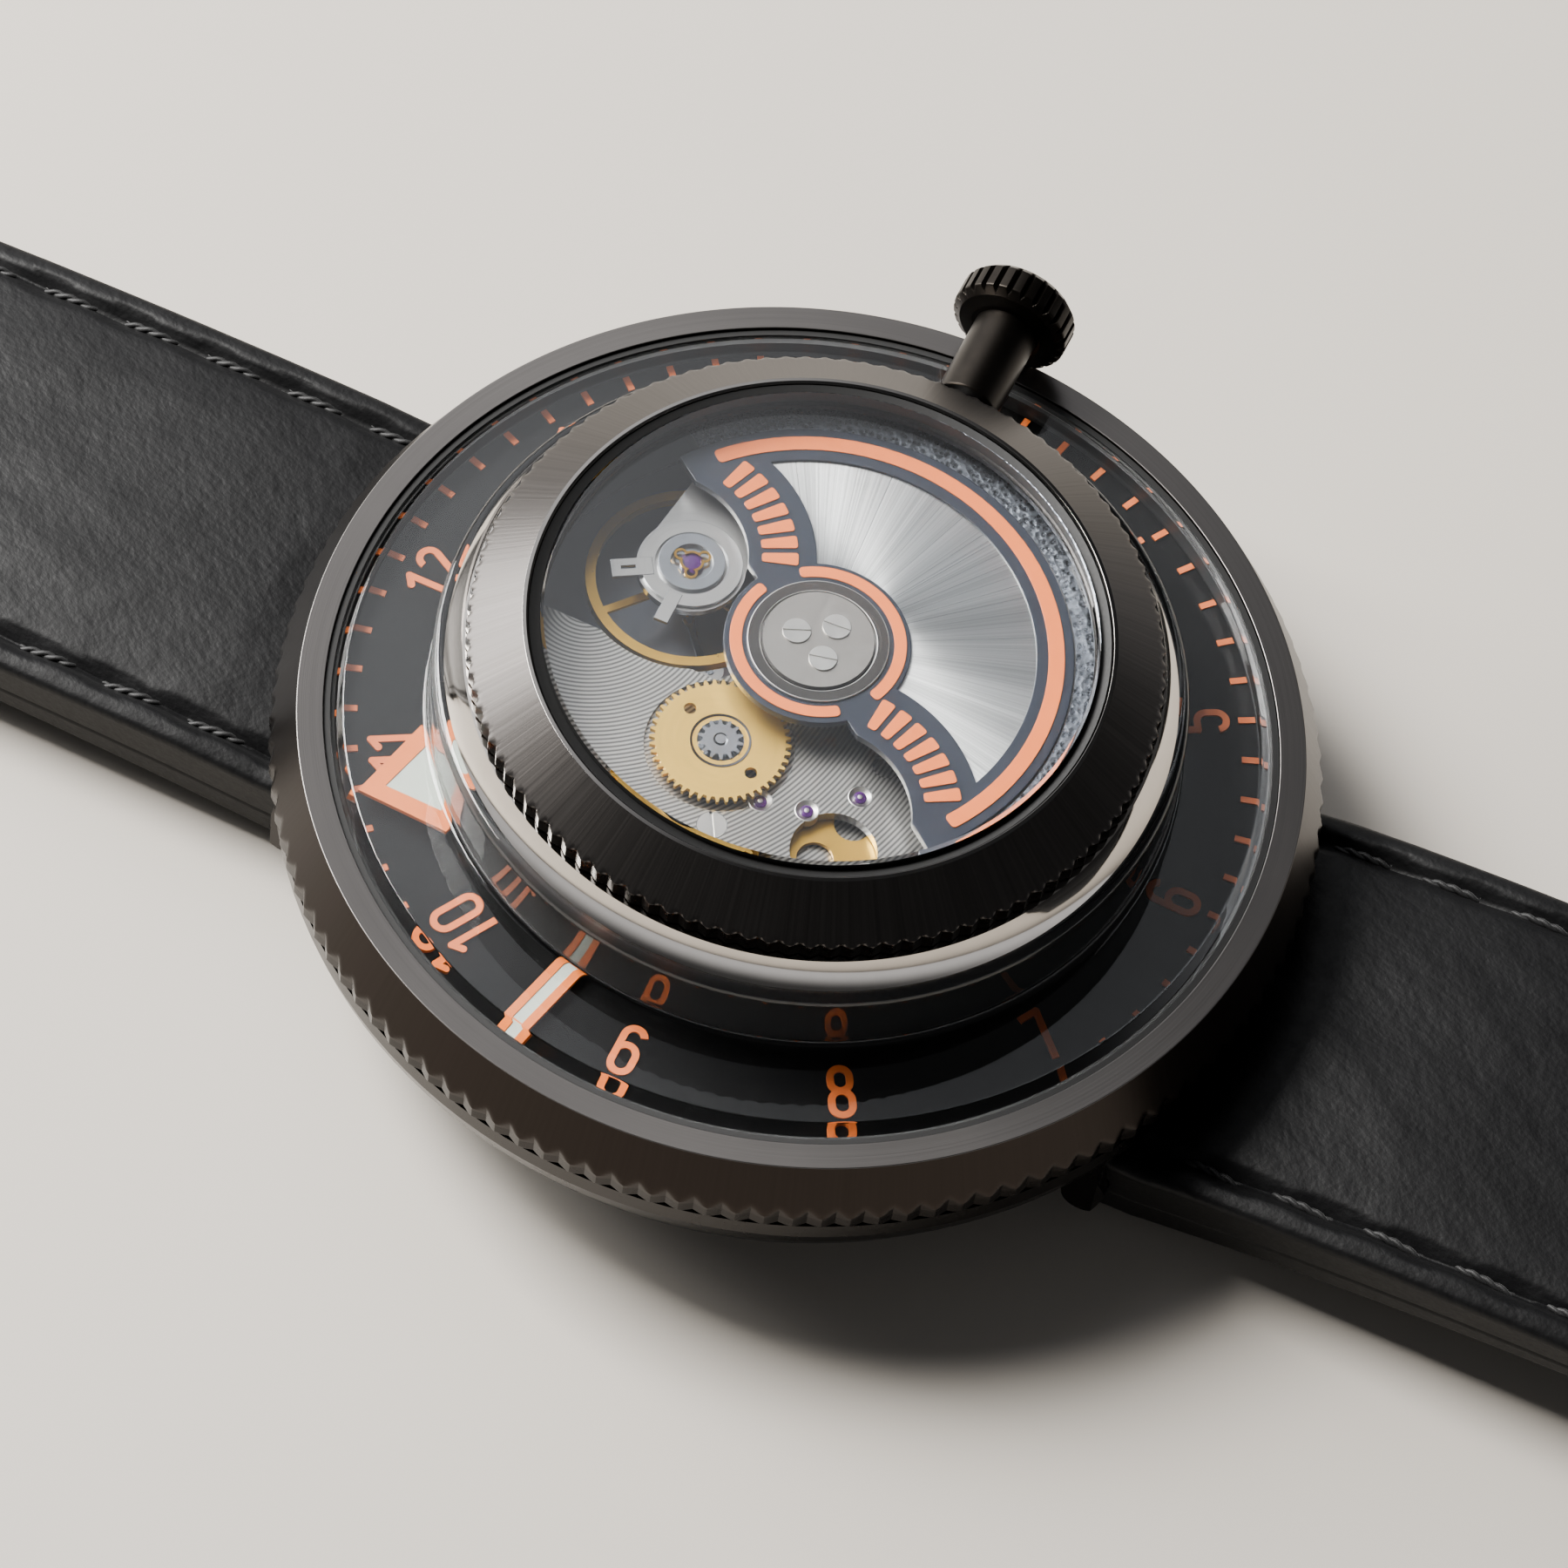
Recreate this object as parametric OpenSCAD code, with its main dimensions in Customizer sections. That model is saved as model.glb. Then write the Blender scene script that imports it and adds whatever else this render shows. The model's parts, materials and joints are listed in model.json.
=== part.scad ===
// Inverted automatic wristwatch: the winding side of the movement faces up under a raised
// centre crystal, and two discs below it carry pointers out over a ring-shaped dial.
// Millimetres. +Z up, +Y to 12 o'clock, +X to the crown; z = 0 is the case back's resting face.

/* [Case] */
// Outer diameter over the lower bezel's knurling
bezel_d = 44.2; // [43.6:0.1:44.6]
// Height of the lower bezel's flat ring above the resting face
bezel_top = 10.6; // [10.5:0.05:10.7]
// Height of the upper bezel's inner rim
upper_bezel_top = 17.95; // [17.8:0.05:18.2]
// Outer radius of the upper crystal
crystal_r = 11.38; // [11.3:0.02:11.5]
// Number of teeth round the lower bezel
lower_knurls = 120; // [96:6:132]
// Number of teeth round the upper bezel
upper_knurls = 108; // [90:6:120]

/* [Dial and pointers] */
// Height of the dial's face
dial_top = 9.0; // [8.9:0.02:9.04]
// Radius of the numerals' centres
numeral_r = 16.85; // [16.6:0.05:17]
// Clock angle of the hour pointer, clockwise from 12
hour_at = 322.5; // [0:0.5:359.5]
// Clock angle of the minute pointer, clockwise from 12
minute_at = 284; // [0:1:359]

/* [Movement] */
// Radius of the balance rim
balance_r = 4.25; // [4.1:0.05:4.3]
// Direction of the rotor's middle, anticlockwise from the crown
rotor_at = -36.4; // [-45:0.1:-30]
// Outer radius of the rotor's heavy rim
rotor_r = 12.2; // [11.6:0.1:12.3]

/* [Crown] */
// Height of the crown's axis
crown_z = 13.35; // [13.3:0.01:13.4]
// Radius of the crown's cap
crown_r = 2.6; // [2.4:0.05:2.6]
// Number of grooves round the cap
crown_grooves = 26; // [20:1:32]

/* [Strap] */
// Width of the strap at the case
strap_w = 20; // [19.6:0.1:20.4]
// Width of the strap at the buckle
strap_tip_w = 18; // [17:0.5:18]
// Length of the buckle half from its spring bar
strap_12_len = 70; // [66:1:75]
// Length of the long half from its spring bar
strap_6_len = 115; // [105:1:120]

/* [Hidden] */
$fn = 96;
e = 0.01;
bezel_r = bezel_d / 2;

// Spring bars and strap
bar_y = 18.4;
bar_z = 2.9;
bar_r = 0.78;
end_r = 2.05;
lug_gap = strap_w + 0.4;
lug_r = 0.85;
taper_y = 44;
flat_y = 58;
buckle_y = bar_y + strap_12_len;
lay_z = 1.0;
buckle_z = lay_z + 1.2;
pin_r = 0.6;
strap_t = 4.0;
strap_tip_t = 2.4;

// Axes of the movement, seen from above
balance_p = [1.66, 6.34];
escape_p = 3.85 * [cos(140.7), sin(140.7)];
third_p = 3.6 * [cos(200), sin(200)];
barrel_p = 6.4 * [cos(-45), sin(-45)];
pallet_p = escape_p + 2.3 * unit(balance_p - escape_p);
fourth_p = meet(third_p, 3.06, escape_p, 2.86);
winding_p = [-5.24, 1.78];
reduction_p = winding_p + 4.5 * unit([-6.34, -2.59] - winding_p);
crown_wheel_p = barrel_p + 5.7 * unit([4.78, 3.02]);
minute_wheel_p = 2.4 * [cos(100), sin(100)];
cock_foot_p = [7.6, 5.6];
opening_p = [-7.56, -4.32];
// Feet of the main plate that carry the bridges
train_foot_p = [-11.2, 3.2];
wide_foot_p = [-6.9, 8.4];
low_foot_p = [-9.0, -7.1];

// Jewels set in the automatic bridge
jewel_ps = [reduction_p, [-4.77, -4.22], [-6.8, -0.75]];
// Screws of the automatic bridge, the balance cock and the barrel bridge
screw_ps = [[-8.72, 0.49], [-2.2, -6.4], [-1.6, -10.9], [-9.6, 5.9]];
cock_screw_p = cock_foot_p + [0.4, 0.1];
barrel_screw_p = [2.6, -11.4];

function unit(v) = v / norm(v);
function heading(a, b) = atan2(b[1] - a[1], b[0] - a[0]);
function polar(r, a) = [r * cos(a), r * sin(a)];
// Point at distance ra from a and rb from b, to the left of the way from a to b
function meet(a, ra, b, rb) =
    let (d = norm(b - a), along = (ra * ra - rb * rb + d * d) / (2 * d), up = unit(b - a))
    a + along * up + sqrt(ra * ra - along * along) * [-up[1], up[0]];
function bezier(t, p) =
    pow(1 - t, 3) * p[0] + 3 * t * pow(1 - t, 2) * p[1] + 3 * t * t * (1 - t) * p[2] + pow(t, 3) * p[3];
function mix(a, b, t) = a + (b - a) * min(1, max(0, t));

// ---- Helpers ----

module disc(r, z1, z2) translate([0, 0, z1]) cylinder(r = r, h = z2 - z1);

module ring(r_out, r_in, z1, z2) translate([0, 0, z1]) difference() {
    cylinder(r = r_out, h = z2 - z1);
    translate([0, 0, -1]) cylinder(r = r_in, h = z2 - z1 + 2);
}

module at(p) translate([p[0], p[1], 0]) children();

module slab(z1, z2) translate([0, 0, z1]) linear_extrude(z2 - z1) children();

// Flat sector of a disc, from angle a0 to a1, less than half a turn apart
module wedge2d(a0, a1, r) polygon([[0, 0], polar(r, a0), polar(r * 1.6, (a0 + a1) / 2), polar(r, a1)]);

// Part of a ring of square section, from angle a0 to a1
module arc_bar(r, w, a0, a1, z1, z2) rotate([0, 0, a0]) rotate_extrude(angle = a1 - a0)
    translate([r - w / 2, z1]) square([w, z2 - z1]);

// Straight bar with round ends between two points
module rod2d(p, q, w) {
    translate(p) rotate(heading(p, q)) translate([0, -w / 2]) square([norm(q - p), w]);
    translate(p) circle(d = w, $fn = 24);
    translate(q) circle(d = w, $fn = 24);
}

// Spur gear outline of n teeth at pitch radius rp, with one tooth centred on angle phase
module gear2d(n, rp, phase) {
    m = 2 * rp / n;
    p = 360 / n;
    polygon([for (i = [0:n - 1], k = [0:3]) polar(
        (k == 0 || k == 3) ? rp - 1.15 * m : rp + 0.8 * m,
        phase + p * (i + [-0.30, -0.12, 0.12, 0.30][k]))]);
}

// Phase that puts a gap, not a tooth, on the direction a
function gap_on(a, n) = a + 180 / n;

// Disc edge with n flat-topped teeth cut depth deep
module knurl2d(n, r, depth) polygon([for (i = [0:n - 1], k = [0:3]) polar(
    (k == 0 || k == 3) ? r - depth : r, 360 / n * (i + [-0.42, -0.14, 0.14, 0.42][k]))]);

// Flat spiral of half-circles that widens by step on each
module coil(r_in, step, halves, w, z1, z2) for (i = [0:halves - 1])
    translate([i % 2 * step, 0, 0]) arc_bar(r_in + step * i, w, i % 2 * 180, i % 2 * 180 + 180, z1, z2);

// Wheel with a rim, spokes and a toothed edge
module spoked_wheel(n, rp, phase, z1, z2, spokes, hub_r) {
    slab(z1, z2) difference() {
        gear2d(n, rp, phase);
        difference() {
            circle(r = rp * 0.8);
            circle(r = hub_r);
            for (i = [0:spokes - 1]) rotate(i * 360 / spokes)
                translate([0, -rp * 0.055]) square([rp, rp * 0.11]);
        }
    }
}

head_h = 0.22;

// Slotted screw with its head's top at z
module screw(r, z, depth, angle) difference() {
    union() {
        disc(r, z - head_h, z);
        disc(r * 0.5, z - depth, z - head_h + e);
    }
    rotate([0, 0, angle]) translate([-r, -0.07, z - 0.1]) cube([2 * r, 0.14, 0.2]);
}

// Hole for such a screw
module screw_hole(r, z) {
    disc(r + 0.02, z - head_h, z + 1);
    disc(r * 0.5 + 0.01, z - 2, z);
}

// ---- Case ----

// Lug under the case's edge that carries a spring bar's tip
module lug() intersection() {
    rotate([0, 90, 0]) linear_extrude(0.9) hull() {
        translate([-bar_z, bar_y]) circle(r = lug_r, $fn = 48);
        translate([-6, bar_y - 0.6]) circle(r = lug_r, $fn = 48);
    }
    translate([-lug_gap / 2, 0, 0]) cylinder(r = 21.95, h = 7);
}

module case_middle() color("#2b2a29") difference() {
    union() {
        rotate_extrude() polygon([
            [14.9, 1.4], [17.4, 1.4], [19.4, 2.3], [20.9, 3.9], [21.7, 5.6], [21.9, 6.4], [21.9, 7.3],
            [20.3, 7.3], [20.3, 9.6], [19.5, 9.6], [19.5, 8.6], [14.9, 8.6]]);
        for (a = [0, 1], b = [0, 1]) mirror([a, 0, 0]) mirror([0, b, 0]) translate([lug_gap / 2, 0, 0]) lug();
    }
    for (s = [-1, 1]) {
        // Recess that hides the strap's end under the case
        translate([-lug_gap / 2, s > 0 ? 15.9 : -25.9, -1]) cube([lug_gap, 10, 6.6]);
        translate([0, s * bar_y, bar_z]) rotate([0, 90, 0]) cylinder(r = 0.45, h = lug_gap + 1.4, center = true);
    }
}

module case_back() color("#242322") {
    rotate_extrude() polygon([
        [0, 0], [14.6, 0], [16.2, 0.5], [16.2, 1.0], [14.84, 1.0], [14.84, 2.6], [13.9, 2.6], [13.9, 1.3],
        [0, 1.3]]);
}

module case_back_gasket() color("#111111") ring(15.9, 14.95, 1.0, 1.4);

module lower_bezel() color("#3a3836") {
    rotate_extrude() polygon([
        [20.35, 7.6], [bezel_r - 0.25, 7.6], [bezel_r - 0.25, bezel_top - 2.0], [21.0, bezel_top],
        [19.9, bezel_top], [19.9, 9.7], [20.35, 9.7]]);
    slab(7.65, 8.6) difference() {
        knurl2d(lower_knurls, bezel_r, 0.3);
        circle(r = bezel_r - 0.9);
    }
}

module lower_crystal_gasket() color("#0c0c0c") rotate_extrude() polygon([
    [19.22, dial_top + e], [19.48, dial_top + e], [19.48, 9.62], [19.88, 9.62], [19.88, bezel_top - 0.15],
    [19.62, bezel_top - 0.15], [19.62, 10.03], [19.22, 10.03]]);

module ring_crystal() color("#cfd6dc", 0.35) difference() {
    rotate_extrude() polygon(concat(
        [[14.17, 10.05], [19.6, 10.05], [19.6, 10.35], [19.1, 10.9]],
        [for (i = [0:6]) [15.9 - 0.3 * sin(15 * i), 11.4 - 0.3 * cos(15 * i)]],
        [for (i = [0:6]) [15.2 + 0.4 * cos(15 * i), 13.95 + 0.4 * sin(15 * i)]],
        [[14.17, 14.35]]));
    translate([13, 0, crown_z]) rotate([0, 90, 0]) cylinder(r = 0.87, h = 4);
}

module ring_crystal_seal() color("#101010") ring(14.68, 14.12, 14.36, 14.61);

module movement_cup() color("#1b1b1d") difference() {
    union() {
        ring(14.1, 13.6, 10.15, 15.58);
        ring(13.61, 0.95, 10.15, 10.4);
        ring(13.61, 13.25, 15.0, 15.58);
        // Flared collar over the ring crystal's inner edge
        rotate_extrude() polygon(concat(
            [[14.09, 15.57], [14.09, 14.62], [14.7, 14.62], [14.7, 14.38], [15.1, 14.38]],
            [for (i = [0:8]) let (t = i / 8) [15.1 - 0.7 * (1.3 * t - 0.3 * t * t), 14.42 + 1.14 * t]]));
    }
    translate([13, 0, crown_z]) rotate([0, 90, 0]) cylinder(r = 0.87, h = 2);
}

module crown_tube() color("#3c3c3e") translate([12.6, 0, crown_z]) rotate([0, 90, 0]) difference() {
    union() {
        cylinder(r = 0.75, h = 4.9);
        translate([0, 0, 0.93]) cylinder(r = 0.86, h = 1.9);
    }
    translate([0, 0, -1]) cylinder(r = 0.48, h = 7);
}

// ---- Dial ----

module dial_plate() color("#0f0f11") ring(19.46, 14.5, 8.61, dial_top);

stroke_w = 0.3;
stroke_h = 0.09;

// Strokes of a digit: a straight one, a curved one, and the round end or corner of one
module seg(p, q) translate(p) rotate([0, 0, heading(p, q)]) translate([0, -stroke_w / 2, 0])
    cube([norm(q - p), stroke_w, stroke_h]);
module bow(c, r, a0, a1) translate([c[0], c[1], 0]) arc_bar(r, stroke_w, a0, a1, 0, stroke_h);
module knob(p) translate([p[0], p[1], 0]) cylinder(d = stroke_w * 1.06, h = stroke_h, $fn = 24);

half_w = 0.42;

module digit(d) {
    if (d == 0) {
        for (s = [-1, 1]) seg([half_w * s, -0.63], [half_w * s, 0.63]);
        bow([0, 0.63], half_w, 0, 180);
        bow([0, -0.63], half_w, 180, 360);
    }
    if (d == 1) {
        seg([0.1, -1.15], [0.1, 1.0]);
        seg([0.1, 1.0], [-0.3, 0.72]);
        knob([0.1, 1.0]);
        knob([-0.3, 0.72]);
    }
    if (d == 2) {
        bow([0, 0.63], half_w, -35, 170);
        seg(polar(half_w, -35) + [0, 0.63], [-half_w, -1.02]);
        knob(polar(half_w, -35) + [0, 0.63]);
        seg([-half_w, -1.02], [half_w, -1.02]);
        knob([-half_w, -1.02]);
        knob([half_w, -1.02]);
    }
    if (d == 3) {
        bow([0, 0.58], 0.47, -62, 160);
        bow([0, -0.47], 0.58, -160, 62);
        seg([-0.1, 0.11], [0.3, 0.11]);
    }
    if (d == 4) {
        seg([0.15, 1.02], [-0.45, -0.45]);
        seg([-0.45, -0.45], [0.5, -0.45]);
        seg([0.2, 0.2], [0.2, -1.15]);
        knob([-0.45, -0.45]);
        knob([0.15, 1.02]);
    }
    if (d == 5) {
        seg([0.38, 1.02], [-0.38, 1.02]);
        seg([-0.38, 1.02], [-0.4, 0.2]);
        seg([-0.4, 0.2], [0, 0.2]);
        knob([-0.38, 1.02]);
        knob([-0.4, 0.2]);
        bow([0, -0.22], half_w, 0, 90);
        seg([half_w, -0.22], [half_w, -0.63]);
        bow([0, -0.63], half_w, 190, 360);
    }
    if (d == 6) {
        seg([half_w, -0.63], [half_w, -0.2]);
        seg([-half_w, -0.63], [-half_w, 0.63]);
        bow([0, -0.63], half_w, 180, 360);
        bow([0, -0.2], half_w, 0, 150);
        bow([0, 0.63], half_w, 20, 180);
    }
    if (d == 7) {
        seg([-half_w, 1.02], [half_w, 1.02]);
        seg([half_w, 1.02], [-0.15, -1.15]);
        knob([half_w, 1.02]);
    }
    if (d == 8) {
        bow([0, 0.66], 0.39, 0, 180);
        for (s = [-1, 1]) seg([0.39 * s, 0.66], [0.39 * s, 0.44]);
        bow([0, 0.44], 0.39, 180, 360);
        bow([0, -0.4], half_w, 0, 180);
        for (s = [-1, 1]) seg([half_w * s, -0.4], [half_w * s, -0.63]);
        bow([0, -0.63], half_w, 180, 360);
    }
    if (d == 9) rotate([0, 0, 180]) digit(6);
}

// Hours 4 to 8 stand with their tops towards the middle, the others with their tops outwards
module hour_numerals() color("#e0773a") for (h = [1:12]) rotate([0, 0, -30 * h])
    translate([0, numeral_r, dial_top]) rotate([0, 0, h >= 4 && h <= 8 ? 180 : 0]) {
        if (h < 10) digit(h);
        if (h >= 10) {
            translate([-0.72, 0, 0]) digit(1);
            translate([h == 11 ? 0.3 : 0.52, 0, 0]) digit(h - 10);
        }
    }

module minute_track() color("#e0773a") for (i = [0:59]) rotate([0, 0, 6 * i])
    translate([-0.14, 18.42, dial_top]) cube([0.28, 0.72, stroke_h]);

// ---- Upper case ----

module upper_bezel() color("#332f2c") {
    rotate_extrude() polygon([
        [11.2, 16.32], [11.2, 16.6], [11.86, 16.6], [11.86, upper_bezel_top - 0.06],
        [11.92, upper_bezel_top], [14.05, 16.62], [14.05, 15.6], [13.27, 15.6], [13.2, 16.32]]);
    slab(15.62, 16.5) difference() {
        knurl2d(upper_knurls, 14.3, 0.28);
        circle(r = 13.6);
    }
}

module upper_crystal_gasket() color("#0a0a0a") rotate_extrude() polygon([
    [crystal_r + e, 16.61], [11.84, 16.61], [11.84, 17.8], [crystal_r + e, 17.62]]);

module upper_crystal() color("#d4dbe2", 0.3) rotate_extrude() polygon(concat(
    [[0, 16.61], [crystal_r, 16.61], [crystal_r, 17.95]],
    [for (i = [1:12]) [crystal_r * (1 - i / 12) , 17.95 + 0.12 + 0.28 * (1 - pow(1 - i / 12, 2))]]));

module casing_ring() color("#4a4f58") difference() {
    ring(13.5, 12.55, 10.42, 14.85);
    translate([12, 0, crown_z]) rotate([0, 90, 0]) cylinder(r = 0.8, h = 3);
}

// ---- Movement: plates and bridges ----

pivot_ps = [third_p, fourth_p, escape_p];

module main_plate() color("#b9bcc0") {
    difference() {
        disc(12.5, 10.95, 11.45);
        disc(0.36, 10, 12);
        at(barrel_p) disc(0.68, 10, 12);
        for (p = concat(pivot_ps, [pallet_p, balance_p])) at(p) disc(0.2, 10, 12);
    }
    at(minute_wheel_p) disc(0.2, 10.46, 10.96);
    at(low_foot_p) disc(0.8, 11.44, 13.7);
    at(wide_foot_p) disc(1.0, 11.44, 13.7);
    at(train_foot_p) disc(0.8, 11.44, 13.1);
    at([0.8, -11.4]) disc(0.8, 11.44, 13.1);
    at([11.2, 2.2]) disc(0.7, 11.44, 13.1);
}

module plate_area(side) intersection() {
    circle(r = 12.3);
    if (side < 0) polygon([[-0.15, -13], [-13, -13], [-13, 13], [-2.5, 13], [-2.5, 3.2], [-0.15, 1.2]]);
    if (side > 0) polygon([[-0.1, -13], [13, -13], [13, 3.4], [4, 1.3], [-0.1, 1.15]]);
}

module barrel_bridge() color("#c3c6c9") difference() {
    slab(13.1, 13.7) {
        plate_area(1);
        circle(r = 0.45);
    }
    disc(0.2, 13, 14);
    at(barrel_screw_p) disc(0.32, 13, 14);
    at(crown_wheel_p) disc(0.3, 13, 14);
    at(barrel_p) disc(0.68, 13, 14);
    translate([7.9, -0.75, 13]) cube([6, 1.5, 1]);
}

module train_bridge() color("#c0c3c7") difference() {
    slab(13.1, 13.35) plate_area(-1);
    at(balance_p) disc(4.6, 13, 14);
    at(wide_foot_p) disc(1.02, 13, 14);
    at(low_foot_p) disc(0.82, 13, 14);
    for (p = pivot_ps) at(p) disc(0.5, 13, 14);
    disc(0.5, 13, 14);
}

module automatic_bridge() color("#cfd2d5") difference() {
    union() {
        slab(13.7, 14.15) intersection() {
            plate_area(-1);
            circle(r = 11.9);
        }
        disc(1.9, 13.71, 14.15);
    }
    at(balance_p) disc(4.62, 13, 15);
    at(opening_p) disc(1.76, 13, 15);
    at([-2.98, -4.57]) disc(0.55, 13.9, 15);
    at([-3.66, 0.35]) disc(0.55, 13.9, 15);
    at(winding_p) disc(0.26, 13, 15);
    at(winding_p) disc(3.05, 14.0, 15);
    for (p = jewel_ps) at(p) disc(0.5, 13, 15);
    for (p = screw_ps) at(p) screw_hole(0.6, 14.17);
}

module pallet_bridge() color("#c0c3c7") difference() {
    union() {
        slab(12.3, 12.55) rod2d(pallet_p, [-3.6, 6.3], 1.1);
        at([-3.6, 6.3]) disc(0.55, 11.45, 12.31);
    }
    at(pallet_p) disc(0.2, 12, 13);
}

// Cock: round head over the balance, and a foot beside it that stands on the main plate
module balance_cock() color("#c9ccd0") difference() {
    union() {
        slab(14.4, 14.72) {
            translate(balance_p) circle(r = 2.25);
            polygon([
                balance_p + [0.4, 2.1], cock_foot_p + [-0.2, 2.2], cock_foot_p + [1.6, 0.6],
                cock_foot_p + [0.4, -1.5], balance_p + [0.6, -2.1]]);
        }
        at(cock_foot_p) disc(1.5, 11.45, 14.41);
    }
    at(balance_p) disc(0.75, 14, 15);
    at(cock_screw_p) screw_hole(0.62, 14.86);
}

// Index arm and stud arm, clamped one above the other round the cock's head
module regulator() color("#dcdee0") {
    at(balance_p) ring(2.1, 1.5, 14.73, 14.88);
    slab(14.73, 14.9) difference() {
        union() {
            translate(balance_p) rotate(122) translate([1.6, -0.42]) square([1.7, 0.84]);
            translate(balance_p) rotate(181) translate([1.6, -0.3]) square([1.5, 0.6]);
        }
        translate(balance_p) rotate(122) translate([2.3, -0.08]) square([0.6, 0.16]);
    }
}

module shock_setting() color("#d7d9db") at(balance_p) difference() {
    union() {
        ring(1.38, 0.86, 14.73, 15.0);
        ring(0.74, 0.3, 14.45, 14.75);
        ring(1.38, 0.3, 14.72, 14.78);
    }
}

// Three loops that share one middle
module three_loops2d(middle_r, loop_r) {
    circle(r = middle_r);
    for (a = [80, 200, 320]) rotate(a) translate([0.56, 0]) circle(r = loop_r);
}

// Flat spring that holds the balance's jewels down
module shock_spring() color("#e8c45c") at(balance_p) slab(14.96, 15.04) difference() {
    three_loops2d(0.5, 0.28);
    three_loops2d(0.4, 0.18);
}

// Ruby bearings: a domed cap over the balance and flat ones in the bridges
module jewels() color("#8e3f8f") {
    at(balance_p) disc(0.5, 14.8, 14.95);
    for (p = jewel_ps) at(p) ring(0.5, 0.14, 13.72, 14.14);
    for (p = pivot_ps) at(p) ring(0.5, 0.2, 13.12, 13.34);
}

module bridge_screws() color("#c7cacd") {
    for (i = [0:len(screw_ps) - 1]) at(screw_ps[i]) screw(0.6, 14.17, 0.46, 30 + 70 * i);
    at(cock_screw_p) screw(0.62, 14.86, 1.2, 20);
    at(barrel_screw_p) screw(0.6, 13.92, 0.7, 75);
}

module rotor_bearing() color("#d3cfca") difference() {
    union() {
        disc(1.5, 14.15, 15.86);
        disc(2.3, 15.85, 16.05);
    }
    for (i = [0:2]) rotate([0, 0, 94.7 + 120 * i]) translate([0.95, 0, 15.5]) cylinder(r = 0.3, h = 1);
}

module bearing_screws() color("#dedad5") for (i = [0:2]) rotate([0, 0, 94.7 + 120 * i])
    translate([0.95, 0, 0]) difference() {
        union() {
            disc(0.58, 16.05, 16.13);
            disc(0.3, 15.52, 16.06);
        }
        rotate([0, 0, 20 + 50 * i]) translate([-1, -0.05, 16.08]) cube([2, 0.1, 0.2]);
    }

// Steel bars that hold the two strap halves in the case
module spring_bars() color("#8a8c8f") for (s = [-1, 1])
    translate([0, s * bar_y, bar_z]) rotate([0, 90, 0]) {
        cylinder(r = bar_r, h = lug_gap - 0.1, center = true);
        cylinder(r = 0.44, h = lug_gap + 1.2, center = true);
    }

// ---- Rotor ----

// Outline of the rotor, with its middle along +X: a half disc whose arms curve in to the hub
module rotor2d() {
    difference() {
        intersection() {
            circle(r = 10.45);
            translate([-0.75, -12]) square([13, 24]);
        }
        for (s = [-1, 1]) translate([-4.0, 6.8 * s]) circle(r = 3.95);
        circle(r = 2.9);
    }
    difference() {
        circle(r = 3.85);
        circle(r = 2.9);
    }
}

// The brushed sector between the arms
module sunray2d() difference() {
    intersection() {
        circle(r = 8.9);
        translate([0.6, -10]) square([10, 20]);
    }
    for (s = [-1, 1]) translate([-4.0, 6.8 * s]) circle(r = 6.75);
    circle(r = 3.8);
}

module rotor_frame() color("#1d2a40") rotate([0, 0, rotor_at]) slab(15.5, 15.86) difference() {
    rotor2d();
    sunray2d();
}

module rotor_sunray() color("#d9d9d5") rotate([0, 0, rotor_at]) slab(15.5, 15.72) sunray2d();

// Sector of a ring as wide as the angle a, inset by gap and with rounded corners
module rung2d(r_in, r_out, a, gap) offset(r = 0.12, $fn = 16) offset(delta = -gap - 0.12) polygon(concat(
    [for (k = [-2:2]) polar(r_out + gap, a * k / 4)],
    [for (k = [2:-1:-2]) polar(r_in - gap, a * k / 4)]));

// Flat arc of width w with softened corners, less than half a turn long
module arc2d(r, w, a0, a1) offset(r = 0.18) offset(delta = -0.18) intersection() {
    difference() {
        circle(r = r + w / 2);
        circle(r = r - w / 2);
    }
    wedge2d(a0, a1, 2 * r);
}

module rotor_enamel() color("#f0905e") rotate([0, 0, rotor_at]) {
    slab(15.86, 15.92) {
        arc2d(9.72, 0.66, -86.5, 86.5);
        // Two arcs round the hub, offset so that each starts beside an arm
        arc2d(3.35, 0.5, -78, 74);
        arc2d(3.35, 0.5, 102, 256);
    }
    // Seven bars follow each arm
    for (s = [-1, 1], i = [0:6]) translate([-4.0, 6.8 * s, 15.86]) rotate([0, 0, s * (-30 + 8.2 * i)])
        slab(0, 0.06) rung2d(4.5, 6.0, 8.2, 0.12);
}

module rotor_weight() color("#c9cbcd") rotate([0, 0, rotor_at]) {
    slab(14.95, 15.5) intersection() {
        difference() {
            circle(r = rotor_r);
            circle(r = 9.6);
        }
        translate([0.2, -13]) square([13, 26]);
    }
    slab(15.49, 15.74) intersection() {
        difference() {
            circle(r = rotor_r);
            circle(r = 10.46);
        }
        translate([0.2, -13]) square([13, 26]);
    }
}

// Outer race of the bearing and the gear below it that drives the winding wheel
module rotor_hub() color("#b8b5b0") {
    ring(2.9, 2.38, 15.5, 15.96);
    ring(2.9, 1.6, 15.3, 15.78);
    ring(2.1, 1.6, 14.6, 15.31);
    slab(14.32, 14.61) difference() {
        gear2d(48, 2.765, heading([0, 0], winding_p));
        circle(r = 1.6);
    }
}

module winding_wheel() at(winding_p) {
    color("#e3bf62") slab(14.32, 14.52) difference() {
        gear2d(48, 2.765, gap_on(heading(winding_p, [0, 0]), 48));
        circle(r = 0.95);
        for (a = [65, 245]) translate(polar(1.9, a)) circle(r = 0.26);
    }
    color("#b0b2b4") {
        slab(14.2, 14.62) difference() {
            gear2d(14, 0.84, 0);
            circle(r = 0.3);
        }
        disc(1.2, 14.2, 14.33);
        disc(0.22, 13.4, 14.66);
        slab(13.4, 13.66) gear2d(18, 1.08, heading(winding_p, reduction_p));
    }
}

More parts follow.
